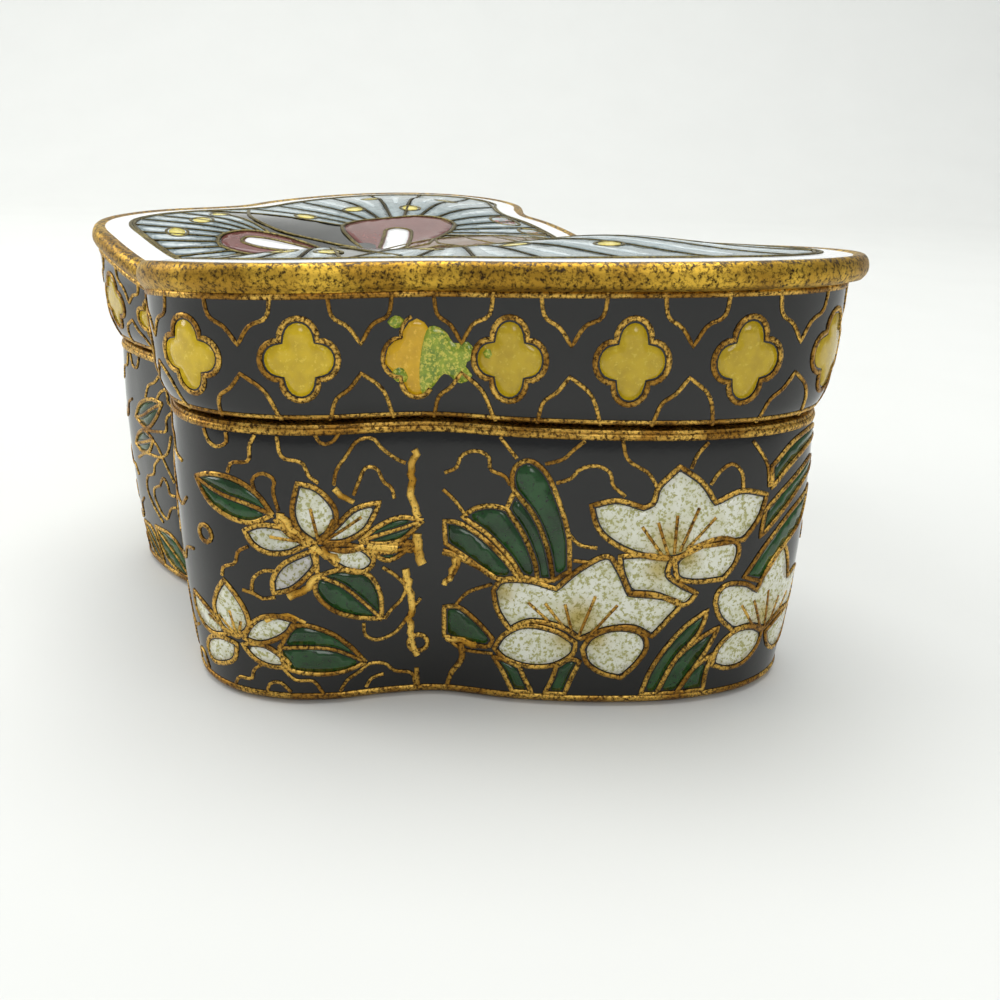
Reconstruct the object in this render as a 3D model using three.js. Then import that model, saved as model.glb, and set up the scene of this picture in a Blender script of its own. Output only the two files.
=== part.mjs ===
// Butterfly-shaped cloisonne enamel box: a hollow base with a fitting lip, and a lift-off lid.
// Units are millimetres, +Z is up, the base stands on z = 0 and the middle of the box is on the Z axis.
// X runs across the wings and +Y points to the butterfly's head.
import * as THREE from 'three';

// ---- driving dimensions -------------------------------------------------------------------------

const BASE_HEIGHT = 21.4;          // floor to the top of the base's outer wall
const SEAM_GAP = 0.3;              // dark line between base and lid
const LID_BOTTOM = BASE_HEIGHT + SEAM_GAP;
const WALL = 1.7;                  // enamelled copper wall of the base
const FLOOR = 1.6;                 // floor of the base
const LIP_RISE = 1.7;              // fitting lip above the base's outer wall
const LIP_STEP = 1.05;             // how far the lip stands in from the outer wall
const BASE_TAPER = 0.6;            // the base is this much narrower, each side, at its foot
const BASE_BELLY = 0.5;            // and swells this much at half height
const FOOT_ROUNDING = 1.1;         // height of the rounded lower edge

const LID_WALL = 1.15;             // thickness of the lid's wall
const LID_EDGE = 0.7;              // thickness of its lower edge
const LID_SWELL = 0.95;            // the lid's wall swells out quickly above its lower edge
const LID_FLARE = 0.15;            // and flares a little more up to the rolled rim
const TOP_PLATE = 1.3;             // thickness of the lid's top

const BEAD_HEIGHT = 1.9;           // the rolled rim
const BEAD_REACH = 1.6;            // how far it stands out from the outline at the hindwings
const BEAD_REACH_TIP = 2.4;        // and at the forewing tips
const BEAD_WIDTH = 1.15;           // from its crest to the enamel

const RIM_MIDDLE = 30.7;           // height of the rim on the body line, before the dip
const WING_RISE = 0.057;           // the wings rise by this slope towards their tips
const DIP_TAIL = 1.9;              // the rim and top sink along the body, at the tail
const DIP_HEAD = 0.5;              // and at the head
const DIP_WIDTH = 8;
const FOREWING_DOME = { height: 1.1, x: 20, y: 9, spreadX: 9, spreadY: 8 };
const HINDWING_DOME = { height: 0.5, x: 12, y: -11, spreadX: 7, spreadY: 6 };
const BODY_RIDGE = { height: 0.7, halfWidth: 3, y: 7, spreadY: 7 };

// One wing pair's outline at the seam, from the tail notch round to the head, mirrored for the other.
const HALF_OUTLINE = [
  [0, -19.0], [4.0, -20.7], [8.7, -22.0], [13.1, -22.4], [16.8, -21.1], [19.8, -18.0], [21.4, -14.5],
  [22.2, -10.9], [23.5, -7.2], [26.8, -2.8], [30.1, 3.0], [32.4, 9.1], [32.9, 14.4], [31.4, 18.6],
  [27.8, 21.4], [22.9, 21.9], [18.8, 20.2], [14.5, 18.8], [10.0, 18.9], [5.0, 18.6], [0, 17.9],
];

const RING_POINTS = 108;           // facets round the box
const STAR_CENTRE = new THREE.Vector2(0, -5);   // every wall can be seen from here
const UNDERSIDE_INSET = 1.3;

// ---- outline ------------------------------------------------------------------------------------

function makeOutline() {
  const right = HALF_OUTLINE.map(([x, y]) => new THREE.Vector3(x, y, 0));
  const left = HALF_OUTLINE.slice(1, -1).reverse().map(([x, y]) => new THREE.Vector3(-x, y, 0));
  const curve = new THREE.CatmullRomCurve3([...right, ...left], true, 'centripetal');
  curve.arcLengthDivisions = 2000;
  const points = curve.getSpacedPoints(RING_POINTS).slice(0, RING_POINTS);
  let normals = points.map((_, i) => {
    const before = points[(i + RING_POINTS - 1) % RING_POINTS];
    const after = points[(i + 1) % RING_POINTS];
    return new THREE.Vector2(after.y - before.y, before.x - after.x).normalize();
  });
  for (let pass = 0; pass < 2; pass += 1) normals = smoothed(normals);
  return points.map((p, i) => ({ x: p.x, y: p.y, nx: normals[i].x, ny: normals[i].y }));
}

// Each normal is blended with its neighbours, so that rings don't cross in the notches.
function smoothed(normals) {
  const count = normals.length;
  return normals.map((normal, i) => normal.clone().multiplyScalar(2)
    .add(normals[(i + count - 1) % count]).add(normals[(i + 1) % count]).normalize());
}

const outline = makeOutline();

// ---- height of the top and reach of the rim -----------------------------------------------------

const bump = (value, middle, spread) => Math.exp(-(((value - middle) / spread) ** 2));

function rimHeight(x, y) {
  const tailShare = 1 / (1 + Math.exp(y / 3));
  const dip = (DIP_TAIL * tailShare + DIP_HEAD * (1 - tailShare)) * bump(x, 0, DIP_WIDTH);
  return RIM_MIDDLE + WING_RISE * Math.abs(x) - dip;
}

function domeHeight(dome, x, y) {
  return dome.height * bump(Math.abs(x), dome.x, dome.spreadX) * bump(y, dome.y, dome.spreadY);
}

// The domes and the body's ridge fade out towards the rim, where edgeShare is 1.
function topHeight(x, y, edgeShare) {
  const ridge = BODY_RIDGE.height * bump(x, 0, BODY_RIDGE.halfWidth) * bump(y, BODY_RIDGE.y, BODY_RIDGE.spreadY);
  const relief = domeHeight(FOREWING_DOME, x, y) + domeHeight(HINDWING_DOME, x, y) + ridge;
  return rimHeight(x, y) + relief * (1 - edgeShare ** 4);
}

function beadReach(x) {
  const tipShare = THREE.MathUtils.smoothstep(Math.abs(x), 18, 33);
  return THREE.MathUtils.lerp(BEAD_REACH, BEAD_REACH_TIP, tipShare);
}

// ---- rings and shells ---------------------------------------------------------------------------

// A ring follows the outline at an offset; offset and height are numbers or functions of (x, y).
function ring(offset, height) {
  return outline.map((p) => {
    const out = typeof offset === 'function' ? offset(p.x, p.y) : offset;
    const x = p.x + p.nx * out;
    const y = p.y + p.ny * out;
    return new THREE.Vector3(x, y, typeof height === 'function' ? height(x, y) : height);
  });
}

// The same ring drawn in towards the middle, for domed plates.
function shrunkRing(source, share, height) {
  return source.map((p) => {
    const x = STAR_CENTRE.x + (p.x - STAR_CENTRE.x) * share;
    const y = STAR_CENTRE.y + (p.y - STAR_CENTRE.y) * share;
    return new THREE.Vector3(x, y, height(x, y, share));
  });
}

// Closes a stack of rings, which runs up the outside and back down the inside, with a point at each
// end.
function shell(rings, startPoint, endPoint) {
  const positions = rings.flat();
  const index = [];
  for (let r = 0; r + 1 < rings.length; r += 1) {
    for (let i = 0; i < RING_POINTS; i += 1) {
      const next = (i + 1) % RING_POINTS;
      const a = r * RING_POINTS + i;
      const b = r * RING_POINTS + next;
      const c = (r + 1) * RING_POINTS + i;
      const d = (r + 1) * RING_POINTS + next;
      index.push(a, b, d, a, d, c);
    }
  }
  const closeEnd = (first, point, facesIn) => {
    const apex = positions.push(point) - 1;
    for (let i = 0; i < RING_POINTS; i += 1) {
      const a = first + i;
      const b = first + ((i + 1) % RING_POINTS);
      if (facesIn) index.push(b, a, apex);
      else index.push(a, b, apex);
    }
  };
  closeEnd(0, startPoint, true);
  closeEnd((rings.length - 1) * RING_POINTS, endPoint, false);
  const geometry = new THREE.BufferGeometry().setFromPoints(positions);
  geometry.setIndex(index);
  geometry.computeVertexNormals();
  return geometry;
}

const at = (height) => new THREE.Vector3(STAR_CENTRE.x, STAR_CENTRE.y, height);

// ---- base ---------------------------------------------------------------------------------------

function baseOffset(height) {
  const u = height / BASE_HEIGHT;
  return -BASE_TAPER * (1 - u) + BASE_BELLY * 4 * u * (1 - u);
}

function makeBase() {
  const rings = [ring(baseOffset(0) - UNDERSIDE_INSET, 0)];
  rings.push(ring(baseOffset(0) - FOOT_ROUNDING * 0.3, FOOT_ROUNDING * 0.3));
  rings.push(ring(baseOffset(FOOT_ROUNDING), FOOT_ROUNDING));
  for (const share of [0.2, 0.4, 0.6, 0.8]) {
    rings.push(ring(baseOffset(BASE_HEIGHT * share), BASE_HEIGHT * share));
  }
  rings.push(ring(0, BASE_HEIGHT - 0.3));
  rings.push(ring(-0.3, BASE_HEIGHT));
  rings.push(ring(-LIP_STEP, BASE_HEIGHT));
  rings.push(ring(-LIP_STEP, BASE_HEIGHT + LIP_RISE - 0.2));
  rings.push(ring(-LIP_STEP - 0.2, BASE_HEIGHT + LIP_RISE));
  rings.push(ring(-WALL, BASE_HEIGHT + LIP_RISE));
  rings.push(ring(-WALL, BASE_HEIGHT * 0.5));
  rings.push(ring(baseOffset(2 * FLOOR) - WALL, 2 * FLOOR));
  rings.push(ring(baseOffset(FLOOR) - WALL - FOOT_ROUNDING, FLOOR));
  return shell(rings, at(0), at(FLOOR));
}

// ---- lid ----------------------------------------------------------------------------------------

function lidOffset(share) {
  return LID_SWELL * (1 - Math.exp(-share / 0.16)) + LID_FLARE * share;
}

function makeLid() {
  const wallTop = (x, y) => rimHeight(x, y) - BEAD_HEIGHT;
  const wallHeight = (share) => (x, y) => THREE.MathUtils.lerp(LID_BOTTOM, wallTop(x, y), share);
  const reach = (inset) => (x) => beadReach(x) - inset;
  const outer = [0.12, 0.35, 0.7, 1].map((share) => ring(lidOffset(share), wallHeight(share)));
  const bead = [
    ring(reach(0.25), (x, y) => rimHeight(x, y) - BEAD_HEIGHT * 0.8),
    ring(reach(0), (x, y) => rimHeight(x, y) - BEAD_HEIGHT * 0.5),
    ring(reach(0.2), (x, y) => rimHeight(x, y) - BEAD_HEIGHT * 0.15),
    ring(reach(0.6), rimHeight),
    ring(reach(BEAD_WIDTH), (x, y) => rimHeight(x, y) - 0.15),
  ];
  const plateEdge = bead[bead.length - 1];
  const plate = [0.93, 0.82, 0.68, 0.52, 0.36, 0.18].map((share) => shrunkRing(plateEdge, share, topHeight));
  const innerWall = [0.85, 0.5, 0.12].map((share) => ring(
    Math.max(lidOffset(share) - LID_WALL, -LID_EDGE), wallHeight(share)));
  const ceiling = [0.25, 0.5, 0.75, 0.93].map((share) => shrunkRing(
    innerWall[0], share, (x, y) => topHeight(x, y, share) - TOP_PLATE));
  const inside = [...ceiling, ...innerWall, ring(-LID_EDGE, LID_BOTTOM)];
  const skin = [ring(0, LID_BOTTOM), ...outer, ...bead, ...plate];
  const middle = topHeight(STAR_CENTRE.x, STAR_CENTRE.y, 0);
  return joinedLid(skin, inside, middle);
}

// The lid's skin runs up and over the top; its inside runs from the ceiling down to the lower edge,
// where the first ring of the skin closes it.
function joinedLid(skin, inside, middle) {
  const rings = [...inside, ...skin];
  return shell(rings, at(middle - TOP_PLATE), at(middle));
}

// ---- the box ------------------------------------------------------------------------------------

const enamelledCopper = new THREE.MeshStandardMaterial({ color: 0x14110d, roughness: 0.2, metalness: 0.1 });
const enamelledTop = new THREE.MeshStandardMaterial({ color: 0x7d8a8c, roughness: 0.2, metalness: 0.1 });

const base = new THREE.Mesh(makeBase(), enamelledCopper);
base.name = 'base';
const lid = new THREE.Mesh(makeLid(), enamelledTop);
lid.name = 'lid';

const box = new THREE.Group();
box.add(base, lid);

export default box;
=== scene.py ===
"""Butterfly-shaped cloisonne enamel box: enamelled shells, gilt wires and enamel cells round the CAD frame.

Lengths inside the script are millimetres and become metres when a mesh is made. A place on the side wall is
(s, z): s is the distance along the outline from the tail notch, and z the height. A place on the lid's wall
is (s, v), with v from 0 at its lower edge to 8 under the rolled rim. A place on the lid's top is (x, y).
"""
from __future__ import annotations

import logging
import math
import random
from dataclasses import dataclass, field
from enum import Enum
from typing import Callable, Iterable, Sequence

import bpy
import numpy as np
from mathutils import Matrix, Vector
from mathutils.geometry import delaunay_2d_cdt


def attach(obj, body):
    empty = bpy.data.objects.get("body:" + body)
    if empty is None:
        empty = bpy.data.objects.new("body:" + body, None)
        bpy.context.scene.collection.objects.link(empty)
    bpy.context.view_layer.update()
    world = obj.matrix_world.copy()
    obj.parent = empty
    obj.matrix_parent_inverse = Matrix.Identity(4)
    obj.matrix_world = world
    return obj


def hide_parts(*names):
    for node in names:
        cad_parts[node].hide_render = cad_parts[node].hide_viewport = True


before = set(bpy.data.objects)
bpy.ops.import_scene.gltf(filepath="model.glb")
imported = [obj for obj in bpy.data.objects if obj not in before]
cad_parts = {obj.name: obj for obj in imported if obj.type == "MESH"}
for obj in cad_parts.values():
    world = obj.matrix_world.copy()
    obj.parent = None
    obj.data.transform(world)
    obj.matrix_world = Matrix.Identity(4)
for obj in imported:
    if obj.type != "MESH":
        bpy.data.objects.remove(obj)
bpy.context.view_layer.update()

LOG = logging.getLogger("cloisonne_box")
MM = 0.001
BODY = "root"

WIRE = 0.19                 # half the width of a common wire
THIN_WIRE = 0.13
ENAMEL_SHRINK = 0.09        # dark line that the firing leaves between a wire and its cell
CELL_THICKNESS = 0.06       # a cell is a thin pad, sunk a little into the ground
CELL_LIFT = 0.03
WIRE_LIFT = 0.03
POINT_STEP = 0.35           # between points along an outline
CELL_SPACING = 0.62         # between points inside a cell
LID_WALL_UNITS = 8.0        # v at the top of the lid's wall

Point = tuple[float, float]
Path = np.ndarray
Surface = Callable[[np.ndarray, np.ndarray, float], tuple[np.ndarray, np.ndarray]]


# ---- curves ------------------------------------------------------------------------------------------------

def parse(text: str) -> list[np.ndarray]:
    """Read a drawn line: 'x y, x y / x y', where each slash is a corner.

    Args:
        text: the points, with commas between points and slashes at corners.

    Returns:
        One array of points for each smooth stroke; a stroke starts where the last one ended.
    """
    strokes: list[np.ndarray] = []
    for part in text.split("/"):
        points = [tuple(float(value) for value in item.split()) for item in part.split(",")]
        if strokes:
            points = [tuple(strokes[-1][-1])] + points
        strokes.append(np.array(points, float))
    return strokes


def smooth(points: np.ndarray, closed: bool = False, step: float = POINT_STEP) -> np.ndarray:
    """Run a centripetal Catmull-Rom curve through points.

    Args:
        points: the points, one row each.
        closed: whether the curve returns to its first point.
        step: spacing of the result.

    Returns:
        Evenly spaced points along the curve, with both ends, or without the repeated end when closed.
    """
    if closed:
        padded = np.vstack([points[-1], points, points[:2]])
    else:
        first = 2 * points[0] - points[1]
        last = 2 * points[-1] - points[-2]
        padded = np.vstack([first, points, last])
    dense: list[np.ndarray] = []
    for p0, p1, p2, p3 in zip(padded, padded[1:], padded[2:], padded[3:]):
        t1 = max(np.linalg.norm(p1 - p0), 1e-6) ** 0.5
        t2 = t1 + max(np.linalg.norm(p2 - p1), 1e-6) ** 0.5
        t3 = t2 + max(np.linalg.norm(p3 - p2), 1e-6) ** 0.5
        t = np.linspace(t1, t2, 24, endpoint=False)[:, None]
        a1 = (t1 - t) / t1 * p0 + t / t1 * p1
        a2 = (t2 - t) / (t2 - t1) * p1 + (t - t1) / (t2 - t1) * p2
        a3 = (t3 - t) / (t3 - t2) * p2 + (t - t2) / (t3 - t2) * p3
        b1 = (t2 - t) / t2 * a1 + t / t2 * a2
        b2 = (t3 - t) / (t3 - t1) * a2 + (t - t1) / (t3 - t1) * a3
        dense.append((t2 - t) / (t2 - t1) * b1 + (t - t1) / (t2 - t1) * b2)
    line = np.vstack(dense + [padded[-2][None]])
    return respaced(line, step, closed)


def respaced(line: np.ndarray, step: float, closed: bool) -> np.ndarray:
    """Place points at an even spacing along a polyline."""
    lengths = np.r_[0.0, np.cumsum(np.linalg.norm(np.diff(line, axis=0), axis=1))]
    count = max(2, int(math.ceil(lengths[-1] / step)))
    places = np.linspace(0.0, lengths[-1], count + 1)
    if closed:
        places = places[:-1]
    return np.stack([np.interp(places, lengths, line[:, axis]) for axis in range(line.shape[1])], axis=1)


def drawn(text: str, closed: bool) -> np.ndarray:
    """Turn a drawn line into points, keeping its corners.

    Args:
        text: the line, in the notation of parse.
        closed: whether the line returns to its start, with a corner there unless it has one stroke only.

    Returns:
        The points, without a repeated end when closed.
    """
    strokes = parse(text)
    if closed and len(strokes) == 1:
        return smooth(strokes[0], closed=True)
    if closed:
        strokes.append(np.array([strokes[-1][-1], strokes[0][0]]))
    parts = [smooth(stroke) if np.linalg.norm(stroke[0] - stroke[-1]) > 1e-4 else stroke[:1]
             for stroke in strokes]
    line = np.vstack([part[:-1] for part in parts if len(part) > 1] + [parts[-1][-1:]])
    return line[:-1] if closed else line


def turned(line: np.ndarray, degrees: float, centre: Point, scale: float = 1.0) -> np.ndarray:
    """Turn and scale points about the origin, then move them to a centre."""
    angle = math.radians(degrees)
    matrix = np.array([[math.cos(angle), math.sin(angle)], [-math.sin(angle), math.cos(angle)]])
    return line @ matrix * scale + np.array(centre)


def arc(centre: Point, radius: float, start: float, end: float, step: float = POINT_STEP) -> np.ndarray:
    """Points on an arc, in degrees from the first axis."""
    count = max(3, int(abs(math.radians(end - start)) * radius / step) + 1)
    angles = np.radians(np.linspace(start, end, count))
    return np.stack([centre[0] + radius * np.cos(angles), centre[1] + radius * np.sin(angles)], axis=1)


def is_inside(points: np.ndarray, outline: np.ndarray) -> np.ndarray:
    """Say which points lie inside a closed outline."""
    x, y = points[:, 0][:, None], points[:, 1][:, None]
    x1, y1 = outline[:, 0][None], outline[:, 1][None]
    x2, y2 = np.roll(outline[:, 0], -1)[None], np.roll(outline[:, 1], -1)[None]
    crosses = (y1 > y) != (y2 > y)
    rise = np.where(y2 == y1, 1e-12, y2 - y1)
    hits = crosses & (x < (x2 - x1) * (y - y1) / rise + x1)
    return hits.sum(axis=1) % 2 == 1


def distance_to(points: np.ndarray, outline: np.ndarray) -> np.ndarray:
    """Distance from each point to a closed outline."""
    start, end = outline, np.roll(outline, -1, axis=0)
    along = end - start
    length = (along ** 2).sum(axis=1) + 1e-12
    offset = points[:, None] - start[None]
    share = np.clip((offset * along[None]).sum(axis=2) / length[None], 0.0, 1.0)
    nearest = start[None] + share[..., None] * along[None]
    return np.sqrt(((points[:, None] - nearest) ** 2).sum(axis=2)).min(axis=1)


def shrunk(outline: np.ndarray, inset: float) -> np.ndarray:
    """Draw a closed outline in by an inset, leaving out what would cross itself."""
    area = 0.5 * np.sum(outline[:, 0] * np.roll(outline[:, 1], -1) - np.roll(outline[:, 0], -1) * outline[:, 1])
    ring = outline if area > 0 else outline[::-1]
    along = np.roll(ring, -1, axis=0) - np.roll(ring, 1, axis=0)
    along /= np.linalg.norm(along, axis=1)[:, None] + 1e-9
    inner = ring + inset * np.stack([-along[:, 1], along[:, 0]], axis=1)
    keep = (distance_to(inner, ring) > inset * 0.93) & is_inside(inner, ring)
    return inner[keep]


# ---- the box's form ----------------------------------------------------------------------------------------

@dataclass(frozen=True)
class Dome:
    """A low swelling of the lid's top, the same on both wings."""

    height: float
    x: float
    y: float
    spread_x: float
    spread_y: float

    def at(self, x: np.ndarray, y: np.ndarray) -> np.ndarray:
        """Height of the swelling."""
        return self.height * bump(np.abs(x), self.x, self.spread_x) * bump(y, self.y, self.spread_y)


def bump(value: np.ndarray, middle: float, spread: float) -> np.ndarray:
    """A smooth bump of height one."""
    return np.exp(-((value - middle) / spread) ** 2)


@dataclass
class BoxForm:
    """The outline, profiles and heights of the box, the same as the solids'."""

    base_height: float = 21.4
    seam_gap: float = 0.3
    wall: float = 1.7
    floor: float = 1.6
    lip_rise: float = 1.7
    lip_step: float = 1.05
    taper: float = 0.6
    belly: float = 0.5
    foot_rounding: float = 1.1
    underside_inset: float = 1.3
    lid_wall: float = 1.15
    lid_edge: float = 0.7
    lid_swell: float = 0.95
    lid_flare: float = 0.15
    top_plate: float = 1.3
    bead_height: float = 1.9
    bead_reach: float = 1.6
    bead_reach_tip: float = 2.4
    bead_width: float = 1.15
    border_width: float = 2.1
    rim_middle: float = 30.7
    wing_rise: float = 0.057
    dip_tail: float = 1.9
    dip_head: float = 0.5
    dip_width: float = 8.0
    domes: tuple[Dome, ...] = (Dome(1.1, 20, 9, 9, 8), Dome(0.5, 12, -11, 7, 6))
    body_ridge: float = 0.7
    half_outline: str = (
        "0 -19.0, 4.0 -20.7, 8.7 -22.0, 13.1 -22.4, 16.8 -21.1, 19.8 -18.0, 21.4 -14.5, 22.2 -10.9, 23.5 -7.2,"
        "26.8 -2.8, 30.1 3.0, 32.4 9.1, 32.9 14.4, 31.4 18.6, 27.8 21.4, 22.9 21.9, 18.8 20.2, 14.5 18.8,"
        "10.0 18.9, 5.0 18.6, 0 17.9")
    centre: Point = (0.0, -5.0)
    ring_points: int = 480
    line: np.ndarray = field(init=False)
    out: np.ndarray = field(init=False)
    length: float = field(init=False)

    def __post_init__(self) -> None:
        """Sample the outline and its outward directions."""
        right = parse(self.half_outline)[0]
        left = right[1:-1][::-1] * np.array([-1.0, 1.0])
        dense = smooth(np.vstack([right, left]), closed=True, step=0.1)
        closed = np.vstack([dense, dense[:1]])
        self.length = float(np.linalg.norm(np.diff(closed, axis=0), axis=1).sum())
        self.line = respaced(closed, self.length / self.ring_points, closed=True)[:self.ring_points]
        along = np.roll(self.line, -1, axis=0) - np.roll(self.line, 1, axis=0)
        normal = np.stack([along[:, 1], -along[:, 0]], axis=1)
        step = self.length / self.ring_points
        reach = int(4.5 / step)
        weights = np.exp(-(np.arange(-reach, reach + 1) * step / 1.5) ** 2 / 2)
        blended = sum(weight * np.roll(normal, shift, axis=0)
                      for weight, shift in zip(weights, range(-reach, reach + 1)))
        self.out = blended / np.linalg.norm(blended, axis=1)[:, None]
        edge = self.ring(self.plate_reach, self.rim_height)
        angle = np.arctan2(edge[:, 1] - self.centre[1], edge[:, 0] - self.centre[0])
        order = np.argsort(angle)
        self.edge_angle = angle[order]
        self.edge_radius = np.hypot(edge[:, 0] - self.centre[0], edge[:, 1] - self.centre[1])[order]

    def foot(self, s: np.ndarray) -> tuple[np.ndarray, np.ndarray]:
        """Point on the outline and outward direction at a distance s along it."""
        place = np.mod(s, self.length) / self.length * self.ring_points
        low = np.floor(place).astype(int) % self.ring_points
        share = (place - np.floor(place))[..., None]
        high = (low + 1) % self.ring_points
        point = self.line[low] * (1 - share) + self.line[high] * share
        out = self.out[low] * (1 - share) + self.out[high] * share
        return point, out / np.linalg.norm(out, axis=-1)[..., None]

    def base_offset(self, z: np.ndarray) -> np.ndarray:
        """How far the base's wall stands out from the outline."""
        u = np.asarray(z, float) / self.base_height
        return -self.taper * (1 - u) + self.belly * 4 * u * (1 - u)

    def lid_offset(self, share: np.ndarray) -> np.ndarray:
        """How far the lid's wall stands out, with share from 0 at its edge to 1 under the rim."""
        return self.lid_swell * (1 - np.exp(-np.asarray(share, float) / 0.16)) + self.lid_flare * share

    def rim_height(self, x: np.ndarray, y: np.ndarray) -> np.ndarray:
        """Height of the rim's crest."""
        tail = 1 / (1 + np.exp(np.asarray(y) / 3))
        dip = (self.dip_tail * tail + self.dip_head * (1 - tail)) * bump(x, 0, self.dip_width)
        return self.rim_middle + self.wing_rise * np.abs(x) - dip

    def edge_share(self, x: np.ndarray, y: np.ndarray) -> np.ndarray:
        """How near a point of the top is to its edge, from 0 to 1."""
        dx, dy = np.asarray(x) - self.centre[0], np.asarray(y) - self.centre[1]
        radius = np.interp(np.arctan2(dy, dx), self.edge_angle, self.edge_radius, period=2 * math.pi)
        return np.minimum(np.hypot(dx, dy) / radius, 1.0)

    def top_height(self, x: np.ndarray, y: np.ndarray) -> np.ndarray:
        """Height of the lid's top."""
        relief = sum(dome.at(x, y) for dome in self.domes) + self.body_ridge * bump(x, 0, 3) * bump(y, 7, 7)
        return self.rim_height(x, y) + relief * (1 - self.edge_share(x, y) ** 4)

    def reach(self, x: np.ndarray) -> np.ndarray:
        """How far the rolled rim stands out from the outline."""
        share = np.clip((np.abs(x) - 18) / 15, 0, 1)
        return self.bead_reach + (self.bead_reach_tip - self.bead_reach) * share * share * (3 - 2 * share)

    def plate_reach(self, x: np.ndarray) -> np.ndarray:
        """Where the rim meets the top plate."""
        return self.reach(x) - self.bead_width

    @property
    def lid_bottom(self) -> float:
        """Height of the lid's lower edge."""
        return self.base_height + self.seam_gap

    def wall_height(self, share: float) -> Callable[[np.ndarray, np.ndarray], np.ndarray]:
        """Height on the lid's wall at a share of the way up to the rim."""
        return lambda x, y: self.lid_bottom + share * (self.rim_height(x, y) - self.bead_height - self.lid_bottom)

    def ring(self, offset: float | Callable, height: float | Callable) -> np.ndarray:
        """A ring that follows the outline at an offset and a height."""
        reach = offset(self.line[:, 0])[:, None] if callable(offset) else offset
        flat = self.line + self.out * reach
        level = height(flat[:, 0], flat[:, 1]) if callable(height) else np.full(len(flat), float(height))
        return np.column_stack([flat, level])

    def drawn_in(self, ring: np.ndarray, share: float, drop: float = 0.0) -> np.ndarray:
        """A ring of the top plate, drawn in to the middle."""
        flat = np.array(self.centre) + (ring[:, :2] - np.array(self.centre)) * share
        return np.column_stack([flat, self.top_height(flat[:, 0], flat[:, 1]) - drop])

    def base_wall(self, s: np.ndarray, z: np.ndarray, lift: float) -> tuple[np.ndarray, np.ndarray]:
        """Place and normal of points on the base's wall."""
        return self._sheet(lambda a, b: self._base_point(a, b), s, z, lift)

    def lid_side(self, s: np.ndarray, v: np.ndarray, lift: float) -> tuple[np.ndarray, np.ndarray]:
        """Place and normal of points on the lid's wall."""
        return self._sheet(lambda a, b: self._lid_point(a, b), s, v, lift)

    def top(self, x: np.ndarray, y: np.ndarray, lift: float) -> tuple[np.ndarray, np.ndarray]:
        """Place and normal of points on the lid's top."""
        return self._sheet(lambda a, b: np.column_stack([a, b, self.top_height(a, b)]), x, y, lift)

    def _base_point(self, s: np.ndarray, z: np.ndarray) -> np.ndarray:
        """A point of the base's wall."""
        point, out = self.foot(s)
        flat = point + out * self.base_offset(z)[:, None]
        return np.column_stack([flat, z])

    def _lid_point(self, s: np.ndarray, v: np.ndarray) -> np.ndarray:
        """A point of the lid's wall."""
        point, out = self.foot(s)
        share = v / LID_WALL_UNITS
        flat = point + out * self.lid_offset(share)[:, None]
        top = self.rim_height(flat[:, 0], flat[:, 1]) - self.bead_height
        return np.column_stack([flat, self.lid_bottom + share * (top - self.lid_bottom)])

    @staticmethod
    def _sheet(point: Callable, a: np.ndarray, b: np.ndarray, lift: float) -> tuple[np.ndarray, np.ndarray]:
        """Lift points off a sheet along its normal, found from two small steps."""
        a, b = np.asarray(a, float), np.asarray(b, float)
        step = 0.05
        place = point(a, b)
        across = point(a + step, b) - point(a - step, b)
        up = point(a, b + step) - point(a, b - step)
        normal = np.cross(across, up)
        normal /= np.linalg.norm(normal, axis=1)[:, None] + 1e-12
        return place + normal * lift, normal


FORM = BoxForm()


# ---- finishes ----------------------------------------------------------------------------------------------

def linear(hex_colour: str) -> tuple[float, float, float, float]:
    """Turn an sRGB hex colour into the linear values that a shader takes."""
    values = [int(hex_colour[i:i + 2], 16) / 255 for i in (1, 3, 5)]
    scene = [v / 12.92 if v <= 0.04045 else ((v + 0.055) / 1.055) ** 2.4 for v in values]
    return scene[0], scene[1], scene[2], 1.0


def per_metre(size_mm: float) -> float:
    """Texture scale whose features are about a size in millimetres."""
    return 1.0 / (size_mm * MM)


def add(tree: bpy.types.NodeTree, kind: str, inputs: dict | None = None, **settings) -> bpy.types.Node:
    """Add a node to a tree.

    Args:
        tree: the shader or geometry tree.
        kind: the node's type name.
        inputs: input name or index to a value, or to an output socket to link from.
        **settings: the node's own properties.

    Returns:
        The node.
    """
    node = tree.nodes.new(kind)
    for name, value in settings.items():
        setattr(node, name, value)
    for key, value in (inputs or {}).items():
        socket = node.inputs[key]
        if isinstance(value, bpy.types.NodeSocket):
            tree.links.new(value, socket)
        else:
            socket.default_value = value
    return node


def ramp(tree: bpy.types.NodeTree, factor: bpy.types.NodeSocket, low: float, high: float) -> bpy.types.NodeSocket:
    """Stretch the part of a value between low and high to 0..1."""
    node = add(tree, "ShaderNodeMapRange", {"Value": factor, "From Min": low, "From Max": high}, clamp=True)
    return node.outputs["Result"]


def blend(tree: bpy.types.NodeTree, factor: bpy.types.NodeSocket, first: object, second: object) -> bpy.types.NodeSocket:
    """Mix two colours by a factor."""
    node = add(tree, "ShaderNodeMix", {0: factor, 6: first, 7: second}, data_type="RGBA")
    return node.outputs[2]


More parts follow.
